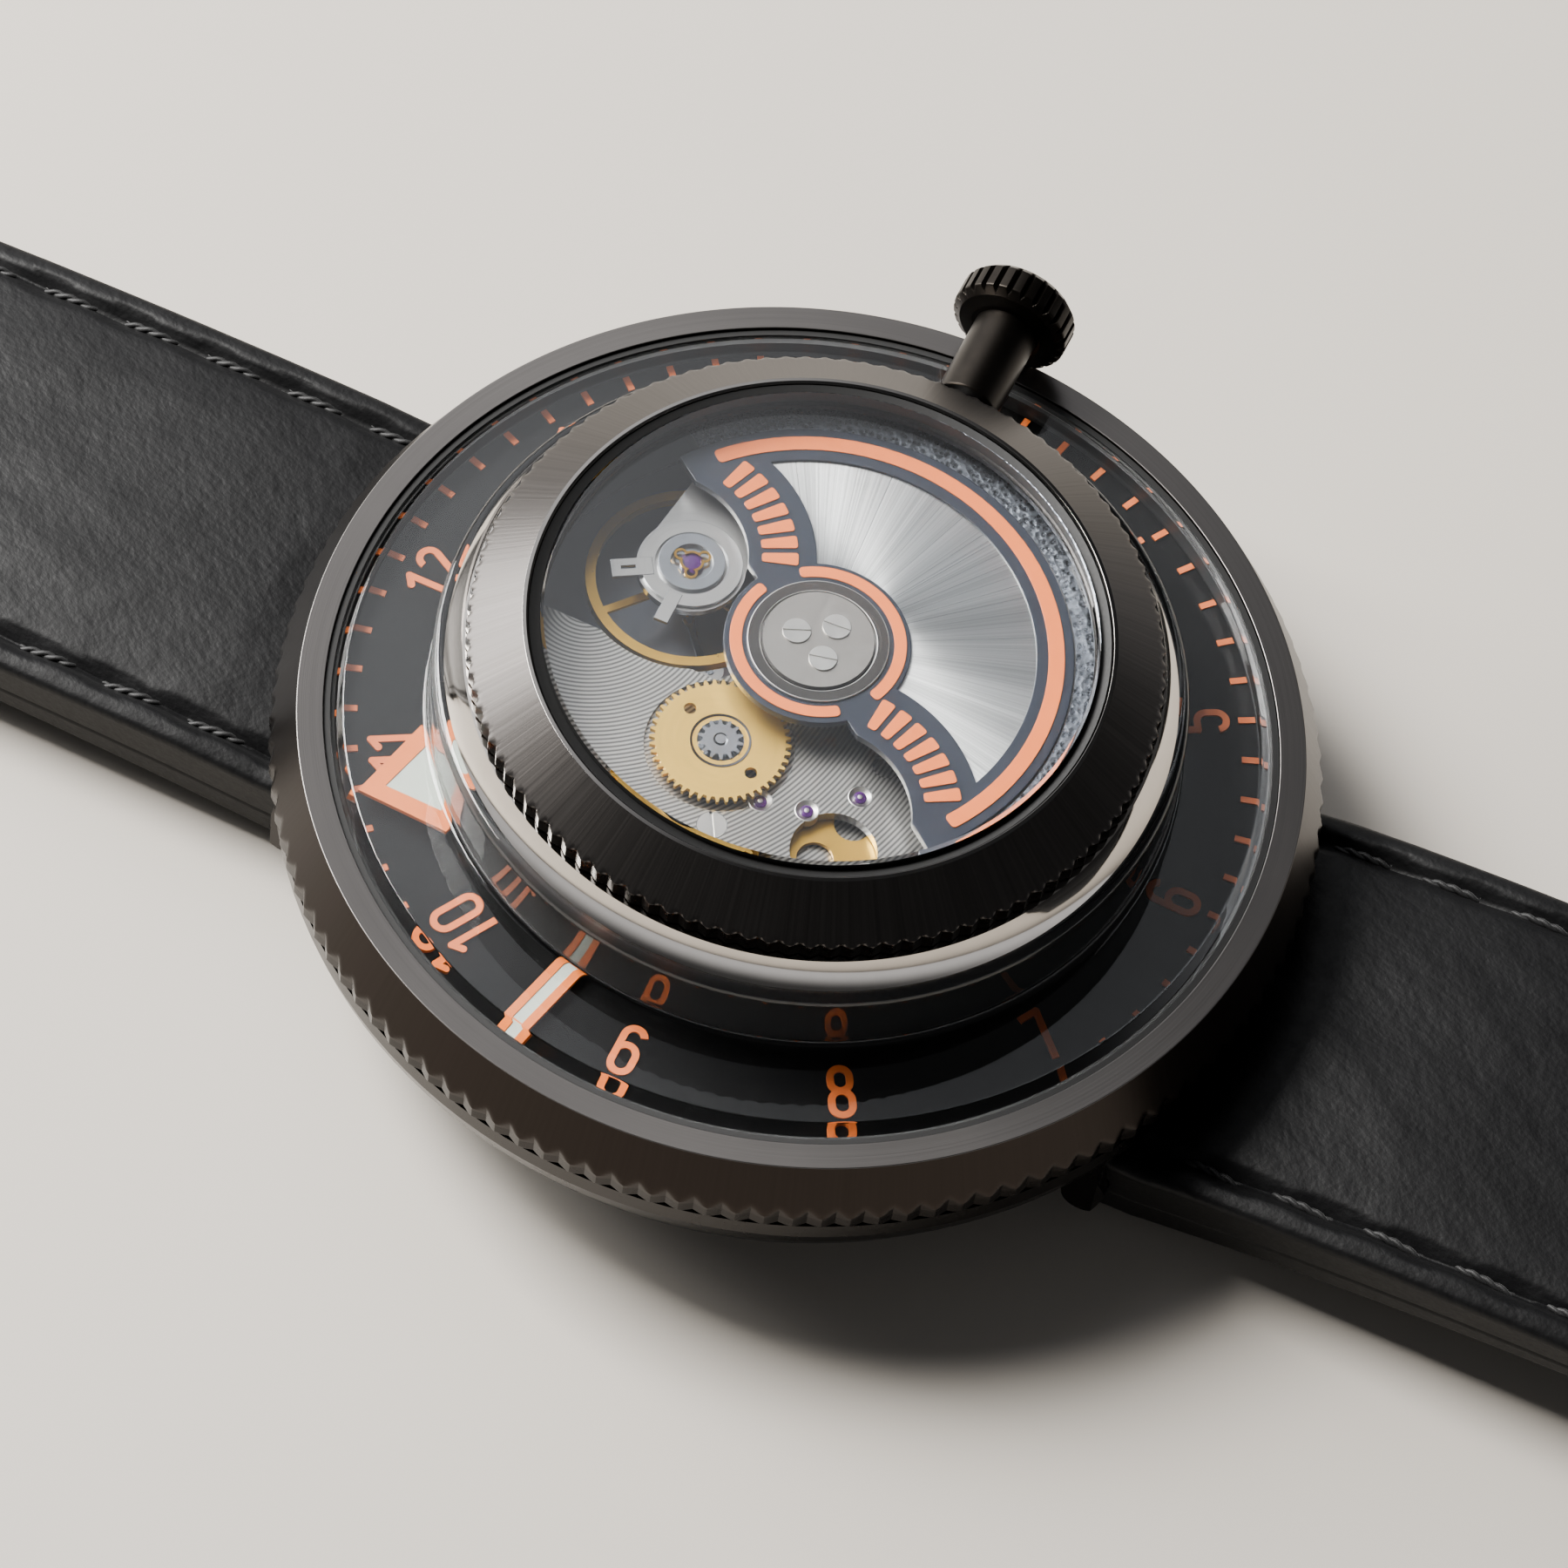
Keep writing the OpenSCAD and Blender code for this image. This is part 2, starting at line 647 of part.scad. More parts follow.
module reduction_wheel() at(reduction_p) {
    color("#dcb65a") slab(13.43, 13.62) difference() {
        gear2d(57, 3.42, gap_on(heading(reduction_p, winding_p), 57));
        for (a = [0:72:359]) translate(polar(1.9, a)) circle(r = 0.75);
    }
    color("#b0b2b4") {
        disc(0.3, 13.37, 13.7);
        disc(0.1, 13.37, 14.05);
    }
}

// ---- Balance and escapement ----

module balance_wheel() at(balance_p) {
    color("#e2bd62") {
        ring(balance_r, balance_r - 0.42, 13.36, 13.82);
        slab(13.45, 13.62) {
            circle(r = 0.6);
            for (a = [20, 140, 260]) rotate(a) translate([0, -0.16]) square([balance_r - 0.2, 0.32]);
        }
    }
    color("#9a9ca0") {
        disc(0.12, 11.1, 14.7);
        disc(0.3, 13.62, 13.9);
        disc(0.62, 11.95, 12.2);
        disc(0.2, 12.2, 13.46);
    }
    color("#8e3f8f") rotate([0, 0, heading(balance_p, pallet_p)]) translate([0.46, 0, 11.62])
        cylinder(r = 0.06, h = 0.34, $fn = 24);
}

// Spiral spring and the collet that holds it on the staff
module hairspring() color("#7f8fb0") at(balance_p) {
    coil(0.42, 0.13, 11, 0.05, 14.0, 14.2);
    ring(0.42, 0.12, 14.02, 14.18);
}

fork_len = norm(balance_p - pallet_p) - 0.6;

// Lever, two arms and their ruby pallets; the pallets stop just short of the escape wheel
module pallet_fork() at(pallet_p) rotate([0, 0, heading(pallet_p, balance_p)]) {
    color("#aeb1b4") {
        slab(11.62, 11.76) {
            translate([0, -0.14]) square([fork_len - 0.3, 0.28]);
            for (s = [-1, 1]) {
                rod2d([0, 0], [-0.5, 1.42 * s], 0.3);
                rod2d([fork_len - 0.4, 0.12 * s], [fork_len - 0.1, 0.2 * s], 0.14);
            }
            circle(r = 0.36);
        }
        disc(0.12, 11.1, 12.5);
    }
    color("#a13560") for (s = [-1, 1]) translate([-0.62, 1.42 * s, 11.58]) rotate([0, 0, 65 * s])
        cube([0.34, 0.16, 0.2], center = true);
}

module escape_wheel() at(escape_p) color("#c8b070") {
    slab(11.6, 11.72) difference() {
        polygon([for (i = [0:19], k = [0:2]) polar([1.35, 1.82, 1.78][k], 18 * i + [0, 8, 11][k])]);
        difference() {
            circle(r = 1.15);
            circle(r = 0.4);
            for (a = [0:90:359]) rotate(a) translate([0, -0.09]) square([1.2, 0.18]);
        }
    }
    disc(0.12, 11.1, 13.3);
    slab(12.42, 12.7) gear2d(7, 0.26, gap_on(heading(escape_p, fourth_p), 7));
}

module fourth_wheel() at(fourth_p) color("#dcb65a") {
    spoked_wheel(70, 2.6, heading(fourth_p, escape_p), 12.5, 12.62, 4, 0.45);
    disc(0.12, 11.1, 13.3);
    slab(11.88, 12.5) gear2d(8, 0.36, gap_on(heading(fourth_p, third_p), 8));
}

module third_wheel() at(third_p) color("#dcb65a") {
    spoked_wheel(60, 2.7, heading(third_p, fourth_p), 11.95, 12.08, 4, 0.5);
    disc(0.12, 11.1, 13.3);
    slab(12.08, 13.04) gear2d(8, 0.4, gap_on(heading(third_p, [0, 0]), 8));
}

module centre_wheel() color("#dcb65a") {
    spoked_wheel(64, 3.2, heading([0, 0], third_p), 12.85, 12.98, 4, 0.7);
    disc(0.28, 9.4, 12.86);
    disc(0.12, 12.9, 13.5);
    slab(11.5, 11.88) gear2d(12, 0.8, gap_on(heading([0, 0], barrel_p), 12));
    // Cannon pinion
    ring(0.45, 0.27, 9.4, 10.7);
    slab(10.69, 10.92) gear2d(12, 0.6, heading([0, 0], minute_wheel_p));
}

// ---- Time display ----

module minute_disc() color("#121214") {
    difference() {
        disc(14.2, 9.25, 9.4);
        rotate([0, 0, 90 - minute_at]) translate([13.94, -0.63, 9]) cube([1, 1.26, 1]);
    }
    disc(0.5, 9.1, 9.26);
}

module minute_pointer() rotate([0, 0, 90 - minute_at]) {
    color("#ef8350") slab(9.26, 9.44) difference() {
        translate([13.95, -0.62]) square([4.8, 1.24]);
        translate([14.3, -0.24]) square([4.1, 0.48]);
    }
    color("#c9cdc4") slab(9.26, 9.41) translate([14.3, -0.24]) square([4.1, 0.48]);
}

function kite(d) = [
    [18.75 - 1.35 * d, 0], [15.6, 2.6 - 1.2 * d], [13.9, 1.25 - d], [13.9, d - 1.25],
    [15.6, 1.2 * d - 2.6]];

module hour_disc() color("#141416") {
    difference() {
        disc(14.2, 9.6, 9.74);
        disc(0.52, 9, 11);
        rotate([0, 0, 90 - hour_at]) slab(9, 11) polygon(kite(0));
    }
    ring(0.8, 0.52, 9.6, 10.64);
    slab(10.45, 10.64) difference() {
        gear2d(40, 1.92, gap_on(heading([0, 0], minute_wheel_p), 40));
        circle(r = 0.52);
    }
}

module hour_pointer() rotate([0, 0, 90 - hour_at]) {
    color("#ef8350") slab(9.6, 9.82) difference() {
        polygon(kite(0));
        polygon(kite(0.85));
    }
    color("#c9cdc4") slab(9.6, 9.78) polygon(kite(0.85));
}

// Idler that gears the cannon pinion down to the hour wheel
module minute_wheel() at(minute_wheel_p) color("#c9a95a") difference() {
    union() {
        slab(10.7, 10.9) gear2d(36, 1.8, gap_on(heading(minute_wheel_p, [0, 0]), 36));
        slab(10.46, 10.71) gear2d(10, 0.48, heading(minute_wheel_p, [0, 0]));
    }
    disc(0.26, 10, 11);
}

// ---- Barrel, winding and crown ----

module barrel() at(barrel_p) color("#d8b45c") {
    difference() {
        union() {
            disc(5.2, 11.55, 12.75);
            slab(11.55, 11.8) gear2d(84, 5.6, heading(barrel_p, [0, 0]));
        }
        disc(4.9, 11.72, 12.6);
        disc(0.68, 11, 13);
    }
    // Mainspring, half run down, with its outer end on the barrel's wall
    coil(2.2, 0.19, 14, 0.1, 11.71, 12.61);
    arc_bar(4.88, 0.1, 0, 60, 11.71, 12.61);
}

module barrel_arbor() at(barrel_p) color("#b9bbbe") {
    disc(0.6, 11.0, 13.89);
    slab(13.88, 14.06) gear2d(56, 3.8, heading(barrel_p, crown_wheel_p));
    disc(1.0, 14.05, 14.2);
}

module crown_wheel() at(crown_wheel_p) color("#b9bbbe") {
    slab(13.88, 14.06) gear2d(28, 1.9, gap_on(heading(crown_wheel_p, barrel_p), 28));
    disc(0.7, 14.05, 14.16);
    disc(0.24, 13.2, 13.89);
}

module along_x(x, r, len) translate([x, 0, crown_z]) rotate([0, 90, 0]) cylinder(r = r, h = len);

module sliding_pinion() color("#a9abad") difference() {
    translate([8.6, 0, crown_z]) rotate([0, 90, 0]) linear_extrude(1.1) gear2d(14, 0.43, 0);
    along_x(8, 0.27, 3);
}

module winding_stem() color("#97999c") {
    along_x(7.9, 0.2, 4.3);
    along_x(12.1, 0.4, 7.3);
}

// Sleeve that covers the tube, and a domed, grooved cap
module crown() color("#1c1b1a") {
    difference() {
        union() {
            along_x(15.75, 1.4, 4.7);
            translate([0, 0, crown_z]) rotate([0, 90, 0]) rotate_extrude() polygon([
                [0, 20.1], [1.25, 20.1], [crown_r - 0.45, 20.3], [crown_r - 0.12, 20.55],
                [crown_r - 0.12, 21.7], [crown_r - 0.5, 21.95], [0, 22.05]]);
            translate([20.5, 0, crown_z]) rotate([0, 90, 0]) linear_extrude(1.2)
                knurl2d(crown_grooves, crown_r, 0.22);
        }
        along_x(15, 0.82, 4.2);
        along_x(19, 0.41, 0.42);
    }
}

// ---- Strap ----

// Height of the strap's underside and its thickness, by distance from the watch's middle
function under_12(t) = bezier(t, [0.95, 1.9, 1.6, lay_z]);
function span_12(t) = bezier(t, [20.4, 34, 46, flat_y]);
function thick_12(y) = mix(strap_t, strap_tip_t, (y - 24) / (flat_y - 26));
function under_6(t) = bezier(t, [0.95, 7.2, 4.2, 0.02]);
function span_6(t) = bezier(t, [20.4, 48, 92, bar_y + strap_6_len]);
function thick_6(y) = mix(strap_t, strap_tip_t - 0.2, (y - 22) / 26);

side_steps = 18;

// Side outline: underside out, then top back, with a round end about the spring bar
module side_12() {
    polygon(concat(
        [[bar_y, bar_z - end_r]],
        [for (i = [0:side_steps]) let (t = i / side_steps) [span_12(t), under_12(t)]],
        [[buckle_y, lay_z], [buckle_y, lay_z + strap_tip_t]],
        [for (i = [side_steps:-1:0]) let (t = i / side_steps, y = span_12(t)) [y, under_12(t) + thick_12(y)]],
        [[bar_y, bar_z + end_r]]));
    translate([bar_y, bar_z]) circle(r = end_r);
}

module side_6() {
    polygon(concat(
        [[bar_y, bar_z - end_r]],
        [for (i = [0:side_steps]) let (t = i / side_steps) [span_6(t), under_6(t)]],
        [for (i = [side_steps:-1:0]) let (t = i / side_steps, y = span_6(t)) [y, under_6(t) + thick_6(y)]],
        [[bar_y, bar_z + end_r]]));
    translate([bar_y, bar_z]) circle(r = end_r);
}

// Strap seen from above, along +Y, with its end square or pointed
module plan(reach, pointed) {
    w = strap_w / 2;
    t = strap_tip_w / 2;
    end_y = bar_y + reach;
    side = pointed ? [[t, end_y - 14], [t * 0.82, end_y - 7], [t * 0.4, end_y - 1.6]] : [[t, end_y + 2]];
    half = concat([[w, 10], [w, taper_y], [t, flat_y]], side);
    polygon(concat(half, pointed ? [[0, end_y]] : [],
        [for (i = [len(half) - 1:-1:0]) [-half[i][0], half[i][1]]]));
}

module from_side(z_span) translate([z_span, 0, 0]) rotate([90, 0, -90]) mirror([1, 0, 0])
    linear_extrude(2 * z_span) children();

// Space over the strap that a keeper leaves for the long half's tip
tuck_t = 2.5;

// Band of leather 1 mm thick over a strap of width w, open below
module keeper_loop(w, z1, z2) difference() {
    translate([-w / 2 - 1, 0, z1]) cube([w + 2, 4.6, z2 - z1]);
    translate([-w / 2, -1, z1 - 1]) cube([w, 7, z2 - z1]);
}

module strap_12() color("#1a1a1b") difference() {
    union() {
        intersection() {
            from_side(12) side_12();
            slab(-1, 9) plan(strap_12_len, false);
        }
        translate([0, buckle_y, buckle_z]) rotate([0, 90, 0])
            cylinder(r = 1.5, h = strap_tip_w, center = true);
        // Fixed keeper, sewn over the strap beside the buckle
        translate([0, buckle_y - 10, 0])
            keeper_loop(strap_tip_w - 0.02, lay_z, lay_z + strap_tip_t + tuck_t + 1);
    }
    translate([0, bar_y, bar_z]) rotate([0, 90, 0]) cylinder(r = bar_r + 0.06, h = 30, center = true);
    translate([0, buckle_y, buckle_z]) rotate([0, 90, 0]) cylinder(r = pin_r + 0.06, h = 30, center = true);
    // Slot for the tongue
    translate([-1.3, buckle_y - 2.6, -1]) cube([2.6, 6, 6]);
}

module strap_6() color("#1a1a1b") mirror([0, 1, 0]) difference() {
    intersection() {
        from_side(12) side_6();
        slab(-1, 11) plan(strap_6_len, true);
    }
    translate([0, bar_y, bar_z]) rotate([0, 90, 0]) cylinder(r = bar_r + 0.06, h = 30, center = true);
    for (i = [0:6]) translate([0, bar_y + strap_6_len - 24 - 6.5 * i, -1]) cylinder(r = 0.95, h = 12);
}

// Frame of round-cornered steel; its ends take the pin that the strap's end wraps
module buckle() color("#232322") difference() {
    union() {
        translate([0, 0, 0.02]) linear_extrude(2.9) difference() {
            translate([-strap_tip_w / 2 - 2.4, buckle_y - 2.2]) square([strap_tip_w + 4.8, 11.4]);
            translate([-strap_tip_w / 2 - 0.3, buckle_y - 3]) square([strap_tip_w + 0.6, 10]);
        }
        translate([0, buckle_y, buckle_z]) rotate([0, 90, 0])
            cylinder(r = pin_r, h = strap_tip_w + 1, center = true);
    }
    // Notch that the tongue's tip lies in
    translate([-0.95, buckle_y + 6, buckle_z + 0.45]) cube([1.9, 4, 1]);
}

module buckle_tongue() color("#2c2c2b") difference() {
    union() {
        translate([0, buckle_y, buckle_z]) rotate([0, 90, 0]) cylinder(r = 1.3, h = 2, center = true);
        translate([-0.8, buckle_y, buckle_z + 0.5]) cube([1.6, 9.0, 0.8]);
    }
    translate([0, buckle_y, buckle_z]) rotate([0, 90, 0]) cylinder(r = pin_r + 0.06, h = 3, center = true);
}

// Loop that slides along the strap and tucks in its end
module loose_keeper() color("#191919") translate([0, buckle_y - 20, 0]) difference() {
    inner_w = strap_tip_w + 0.6;
    inner_h = strap_tip_t + tuck_t + 0.2;
    translate([-inner_w / 2 - 1, 0, 0.02]) cube([inner_w + 2, 4.6, inner_h + 1.8]);
    translate([-inner_w / 2, -1, lay_z - 0.1]) cube([inner_w, 7, inner_h]);
}

case_middle();
case_back();
case_back_gasket();
lower_bezel();
lower_crystal_gasket();
dial_plate();
hour_numerals();
minute_track();
ring_crystal();
ring_crystal_seal();
movement_cup();
crown_tube();
upper_bezel();
upper_crystal_gasket();
upper_crystal();
casing_ring();
main_plate();
barrel_bridge();
train_bridge();
automatic_bridge();
pallet_bridge();
balance_cock();
regulator();
shock_setting();
shock_spring();
jewels();
bridge_screws();
rotor_bearing();
bearing_screws();
spring_bars();
rotor_frame();
rotor_sunray();
rotor_enamel();
rotor_weight();
rotor_hub();
winding_wheel();
reduction_wheel();
balance_wheel();
hairspring();
pallet_fork();
escape_wheel();
fourth_wheel();
third_wheel();
centre_wheel();
minute_disc();
minute_pointer();
hour_disc();
hour_pointer();
minute_wheel();
barrel();
barrel_arbor();
crown_wheel();
sliding_pinion();
winding_stem();
crown();
strap_12();
strap_6();
buckle();
buckle_tongue();
loose_keeper();
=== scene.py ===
"""Looks of the automatic wristwatch: coated steel, crystals, movement, printed dial and stitched leather.

Lengths in the making functions are millimetres; MM turns them into the frame's metres.
"""

import json
import math

import bmesh
import bpy
from mathutils import Matrix, Vector, noise


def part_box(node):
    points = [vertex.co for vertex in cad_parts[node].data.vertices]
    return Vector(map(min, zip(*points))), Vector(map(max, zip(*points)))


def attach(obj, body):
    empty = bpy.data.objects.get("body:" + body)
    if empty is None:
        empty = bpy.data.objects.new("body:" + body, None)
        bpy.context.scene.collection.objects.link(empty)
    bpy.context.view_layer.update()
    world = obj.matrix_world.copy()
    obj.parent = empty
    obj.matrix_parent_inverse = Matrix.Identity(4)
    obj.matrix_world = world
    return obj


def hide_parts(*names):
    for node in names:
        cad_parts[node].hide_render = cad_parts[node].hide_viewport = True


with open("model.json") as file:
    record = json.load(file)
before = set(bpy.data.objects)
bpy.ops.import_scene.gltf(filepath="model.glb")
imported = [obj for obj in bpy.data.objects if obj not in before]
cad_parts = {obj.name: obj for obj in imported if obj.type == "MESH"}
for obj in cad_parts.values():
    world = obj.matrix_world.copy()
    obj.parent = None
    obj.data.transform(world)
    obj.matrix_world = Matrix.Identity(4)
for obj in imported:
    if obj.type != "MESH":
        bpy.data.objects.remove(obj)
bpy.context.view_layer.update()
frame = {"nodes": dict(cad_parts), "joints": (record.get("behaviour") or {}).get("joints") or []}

MM = 0.001
TAU = math.tau
NODES = frame["nodes"]
JOINTS = {j["name"]: j for j in frame["joints"]}


def axis_of(joint):
    """Where a joint's axis stands, in millimetres."""
    return Vector(JOINTS[joint]["pos_m"]) / MM


def low(node):
    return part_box(node)[0] / MM


def high(node):
    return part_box(node)[1] / MM


BALANCE = axis_of("balance_swing")
WINDER = axis_of("winding_wheel_spin")
CROWN_Z = axis_of("crown_turn").z
BAR = axis_of("strap_12_fold")
BUCKLE = axis_of("buckle_fold")

# ---- Materials ----


def rgb(code):
    """Linear colour of a #rrggbb code."""
    parts = [int(code[i : i + 2], 16) / 255 for i in (1, 3, 5)]
    return tuple(c / 12.92 if c < 0.04045 else ((c + 0.055) / 1.055) ** 2.4 for c in parts) + (1.0,)


class Shade:
    """A Principled material with a few helpers for its node tree."""

    def __init__(self, name, colour, rough, metal=0.0, **sockets):
        self.mat = bpy.data.materials.new(name)
        self.mat.use_nodes = True
        self.tree = self.mat.node_tree
        self.bsdf = self.tree.nodes["Principled BSDF"]
        self.colour = rgb(colour)
        self.rough = rough
        self.bsdf.inputs["Base Color"].default_value = self.colour
        self.bsdf.inputs["Roughness"].default_value = rough
        self.bsdf.inputs["Metallic"].default_value = metal
        for key, value in sockets.items():
            self.bsdf.inputs[key.replace("_", " ")].default_value = value
        self.place = self.node("ShaderNodeTexCoord").outputs["Object"]
        self.bump_from = None

    def node(self, kind, inputs=None, **props):
        made = self.tree.nodes.new(kind)
        for key, value in props.items():
            setattr(made, key, value)
        for key, value in (inputs or {}).items():
            self.feed(made.inputs[key], value)
        return made

    def feed(self, socket, value):
        if isinstance(value, bpy.types.NodeSocket):
            self.tree.links.new(value, socket)
        else:
            socket.default_value = value

    def maths(self, operation, a, b=0.0, c=0.0):
        return self.node("ShaderNodeMath", {0: a, 1: b, 2: c}, operation=operation).outputs[0]

    def vector(self, operation, a, b=(0, 0, 0)):
        return self.node("ShaderNodeVectorMath", {0: a, 1: b}, operation=operation)

    def centred(self, centre):
        """Place measured from an upright axis, in metres."""
        shifted = self.vector("SUBTRACT", self.place, (centre[0] * MM, centre[1] * MM, 0)).outputs[0]
        return self.vector("MULTIPLY", shifted, (1, 1, 0)).outputs[0]

    def noise(self, at, scale, detail=2.0, rough=0.5, stretch=(1, 1, 1)):
        at = self.vector("MULTIPLY", at, stretch).outputs[0]
        inputs = {"Vector": at, "Scale": scale, "Detail": detail, "Roughness": rough}
        return self.node("ShaderNodeTexNoise", inputs).outputs["Fac"]

    def streaks(self, kind, pitch, centre=(0, 0)):
        """Grain from 0 to 1 with lines pitch mm wide: out from the centre, round it, or along Y."""
        if kind == "radial":
            way = self.vector("NORMALIZE", self.centred(centre)).outputs[0]
            return self.noise(way, 12.0 / pitch, 3.0, 0.6)
        if kind == "ring":
            flat = self.centred(centre)
            distance = self.vector("LENGTH", flat).outputs["Value"]
            way = self.vector("NORMALIZE", flat).outputs[0]
            far = self.maths("MULTIPLY", distance, 1 / (pitch * MM))
            at = self.node("ShaderNodeCombineXYZ", {2: far}).outputs[0]
            at = self.vector("ADD", at, way).outputs[0]
            return self.noise(at, 1.0, 3.0, 0.6)
        return self.noise(self.place, 1 / (pitch * MM), 3.0, 0.6, (1, 0.02, 1))

    def spread(self, value, low_to, high_to):
        return self.node("ShaderNodeMapRange", {0: value, 3: low_to, 4: high_to}).outputs[0]

    def vary_rough(self, value, amount):
        """Roughness that follows a 0 to 1 pattern."""
        low_to, high_to = max(0.02, self.rough - amount), min(1.0, self.rough + amount)
        self.feed(self.bsdf.inputs["Roughness"], self.spread(value, low_to, high_to))

    def vary_colour(self, value, dark, light):
        """Colour that follows a 0 to 1 pattern between two shares of the base colour."""
        ends = [tuple(min(1.0, c * share) for c in self.colour[:3]) + (1.0,) for share in (dark, light)]
        mix = self.node("ShaderNodeMix", data_type="RGBA")
        self.feed(mix.inputs[0], value)
        self.feed(mix.inputs[6], ends[0])
        self.feed(mix.inputs[7], ends[1])
        self.feed(self.bsdf.inputs["Base Color"], mix.outputs[2])

    def bump(self, value, height_mm):
        inputs = {"Height": value, "Distance": height_mm * MM, "Strength": 1.0}
        made = self.node("ShaderNodeBump", inputs)
        if self.bump_from is not None:
            self.feed(made.inputs["Normal"], self.bump_from)
        self.bump_from = made.outputs[0]
        self.feed(self.bsdf.inputs["Normal"], self.bump_from)

    def brushed(self, kind, pitch, height, amount=0.1, centre=(0, 0), tone=0.12):
        """Brush lines in height, gloss and tone."""
        lines = self.streaks(kind, pitch, centre)
        self.bump(lines, height)
        smears = self.noise(self.place, 160.0, 3.0)
        both = self.maths("MULTIPLY", self.maths("ADD", lines, smears), 0.5)
        self.vary_rough(both, amount)
        self.vary_colour(lines, 1 - tone, 1 + tone)
        return self

    def turned_gleam(self, amount):
        """Stretches highlights across lines that run round the watch's axis."""
        way = self.node("ShaderNodeTangent", direction_type="RADIAL", axis="Z")
        self.feed(self.bsdf.inputs["Tangent"], way.outputs[0])
        self.bsdf.inputs["Anisotropic"].default_value = amount
        return self

    def worn(self, amount=0.06, scale=900.0, height=0.0):
        """Faint handling marks on a smooth surface."""
        marks = self.noise(self.place, scale, 4.0, 0.6)
        self.vary_rough(marks, amount)
        self.vary_colour(marks, 0.92, 1.08)
        if height:
            self.bump(marks, height)
        return self


def glass(name, colour, ior):
    """Clear crystal that lets lamps through to what it covers."""
    shade = Shade(name, colour, 0.0, Transmission_Weight=1.0, IOR=ior)
    smudges = shade.noise(shade.place, 220.0, 4.0, 0.6)
    shade.feed(shade.bsdf.inputs["Roughness"], shade.spread(smudges, 0.0, 0.015))
    clear = shade.node("ShaderNodeBsdfTransparent")
    path = shade.node("ShaderNodeLightPath")
    mix = shade.node("ShaderNodeMixShader", {0: path.outputs["Is Shadow Ray"]})
    shade.feed(mix.inputs[1], shade.bsdf.outputs[0])
    shade.feed(mix.inputs[2], clear.outputs[0])
    shade.feed(shade.tree.nodes["Material Output"].inputs["Surface"], mix.outputs[0])
    return shade.mat


def striped(name, colour, centre, pitch):
    """Bridge steel with fine turned lines round a centre."""
    shade = Shade(name, colour, 0.32, 1.0)
    far = shade.vector("LENGTH", shade.centred(centre)).outputs["Value"]
    wave = shade.maths("SINE", shade.maths("MULTIPLY", far, TAU / (pitch * MM)))
    wave = shade.maths("MULTIPLY_ADD", wave, 0.5, 0.5)
    shade.bump(wave, 0.0015)
    shade.vary_colour(wave, 0.3, 1.3)
    shade.vary_rough(shade.noise(shade.place, 300.0, 2.0), 0.06)
    return shade.mat


def leather(name, colour):
    """Black calf: fine pebbles drawn out one way, soft creases and a waxed gloss."""
    shade = Shade(name, colour, 0.5, Sheen_Weight=0.03, Sheen_Roughness=0.4, Specular_IOR_Level=0.22)
    turned = shade.node("ShaderNodeMapping", {"Vector": shade.place, "Rotation": (0, 0, 0.5)}).outputs[0]
    pebbles = shade.noise(turned, 2300.0, 3.0, 0.55, (1.0, 0.6, 1.0))
    creases = shade.noise(turned, 170.0, 5.0, 0.55, (1.0, 0.4, 1.0))
    pores = shade.node("ShaderNodeTexVoronoi", {"Vector": shade.place, "Scale": 4200.0}).outputs["Distance"]
    shade.bump(creases, 0.14)
    shade.bump(pebbles, 0.035)
    shade.bump(pores, 0.006)
    both = shade.maths("MULTIPLY", shade.maths("ADD", creases, pebbles), 0.5)
    shade.vary_rough(both, 0.16)
    shade.vary_colour(both, 0.6, 1.5)
    return shade.mat


def flecked(name, colour, rough, fleck, size, height, **sockets):
    """Print, lume or lacquer with a fine grain."""
    shade = Shade(name, colour, rough, **sockets)
    grains = shade.noise(shade.place, 1 / (size * MM), 3.0, 0.6)
    shade.vary_colour(grains, 1 - fleck, 1 + fleck)
    shade.vary_rough(grains, 0.08)
    shade.bump(grains, height)
    return shade.mat


def sunray(name, colour):
    """Silvered sector brushed straight out from the hub, so that it gleams in fans."""
    shade = Shade(name, colour, 0.3, 1.0).turned_gleam(0.85)
    fine = shade.streaks("radial", 0.12)
    broad = shade.streaks("radial", 1.6)
    shade.bump(fine, 0.004)
    both = shade.maths("MULTIPLY_ADD", shade.maths("ADD", fine, broad), 1.6, -1.1)
    shade.vary_colour(shade.node("ShaderNodeClamp", {0: both}).outputs[0], 0.55, 1.25)
    shade.vary_rough(fine, 0.08)
    return shade.mat


def hammered(name, colour):
    """Sintered heavy metal with glinting grains."""
    shade = Shade(name, colour, 0.3, 1.0)
    cells = shade.node("ShaderNodeTexVoronoi", {"Vector": shade.place, "Scale": 4500.0})
    shade.bump(cells.outputs["Distance"], 0.03)
    tones = shade.node("ShaderNodeSeparateColor", {0: cells.outputs["Color"]}).outputs[0]
    shade.vary_colour(tones, 0.5, 1.3)
    shade.vary_rough(cells.outputs["Distance"], 0.12)
    return shade.mat


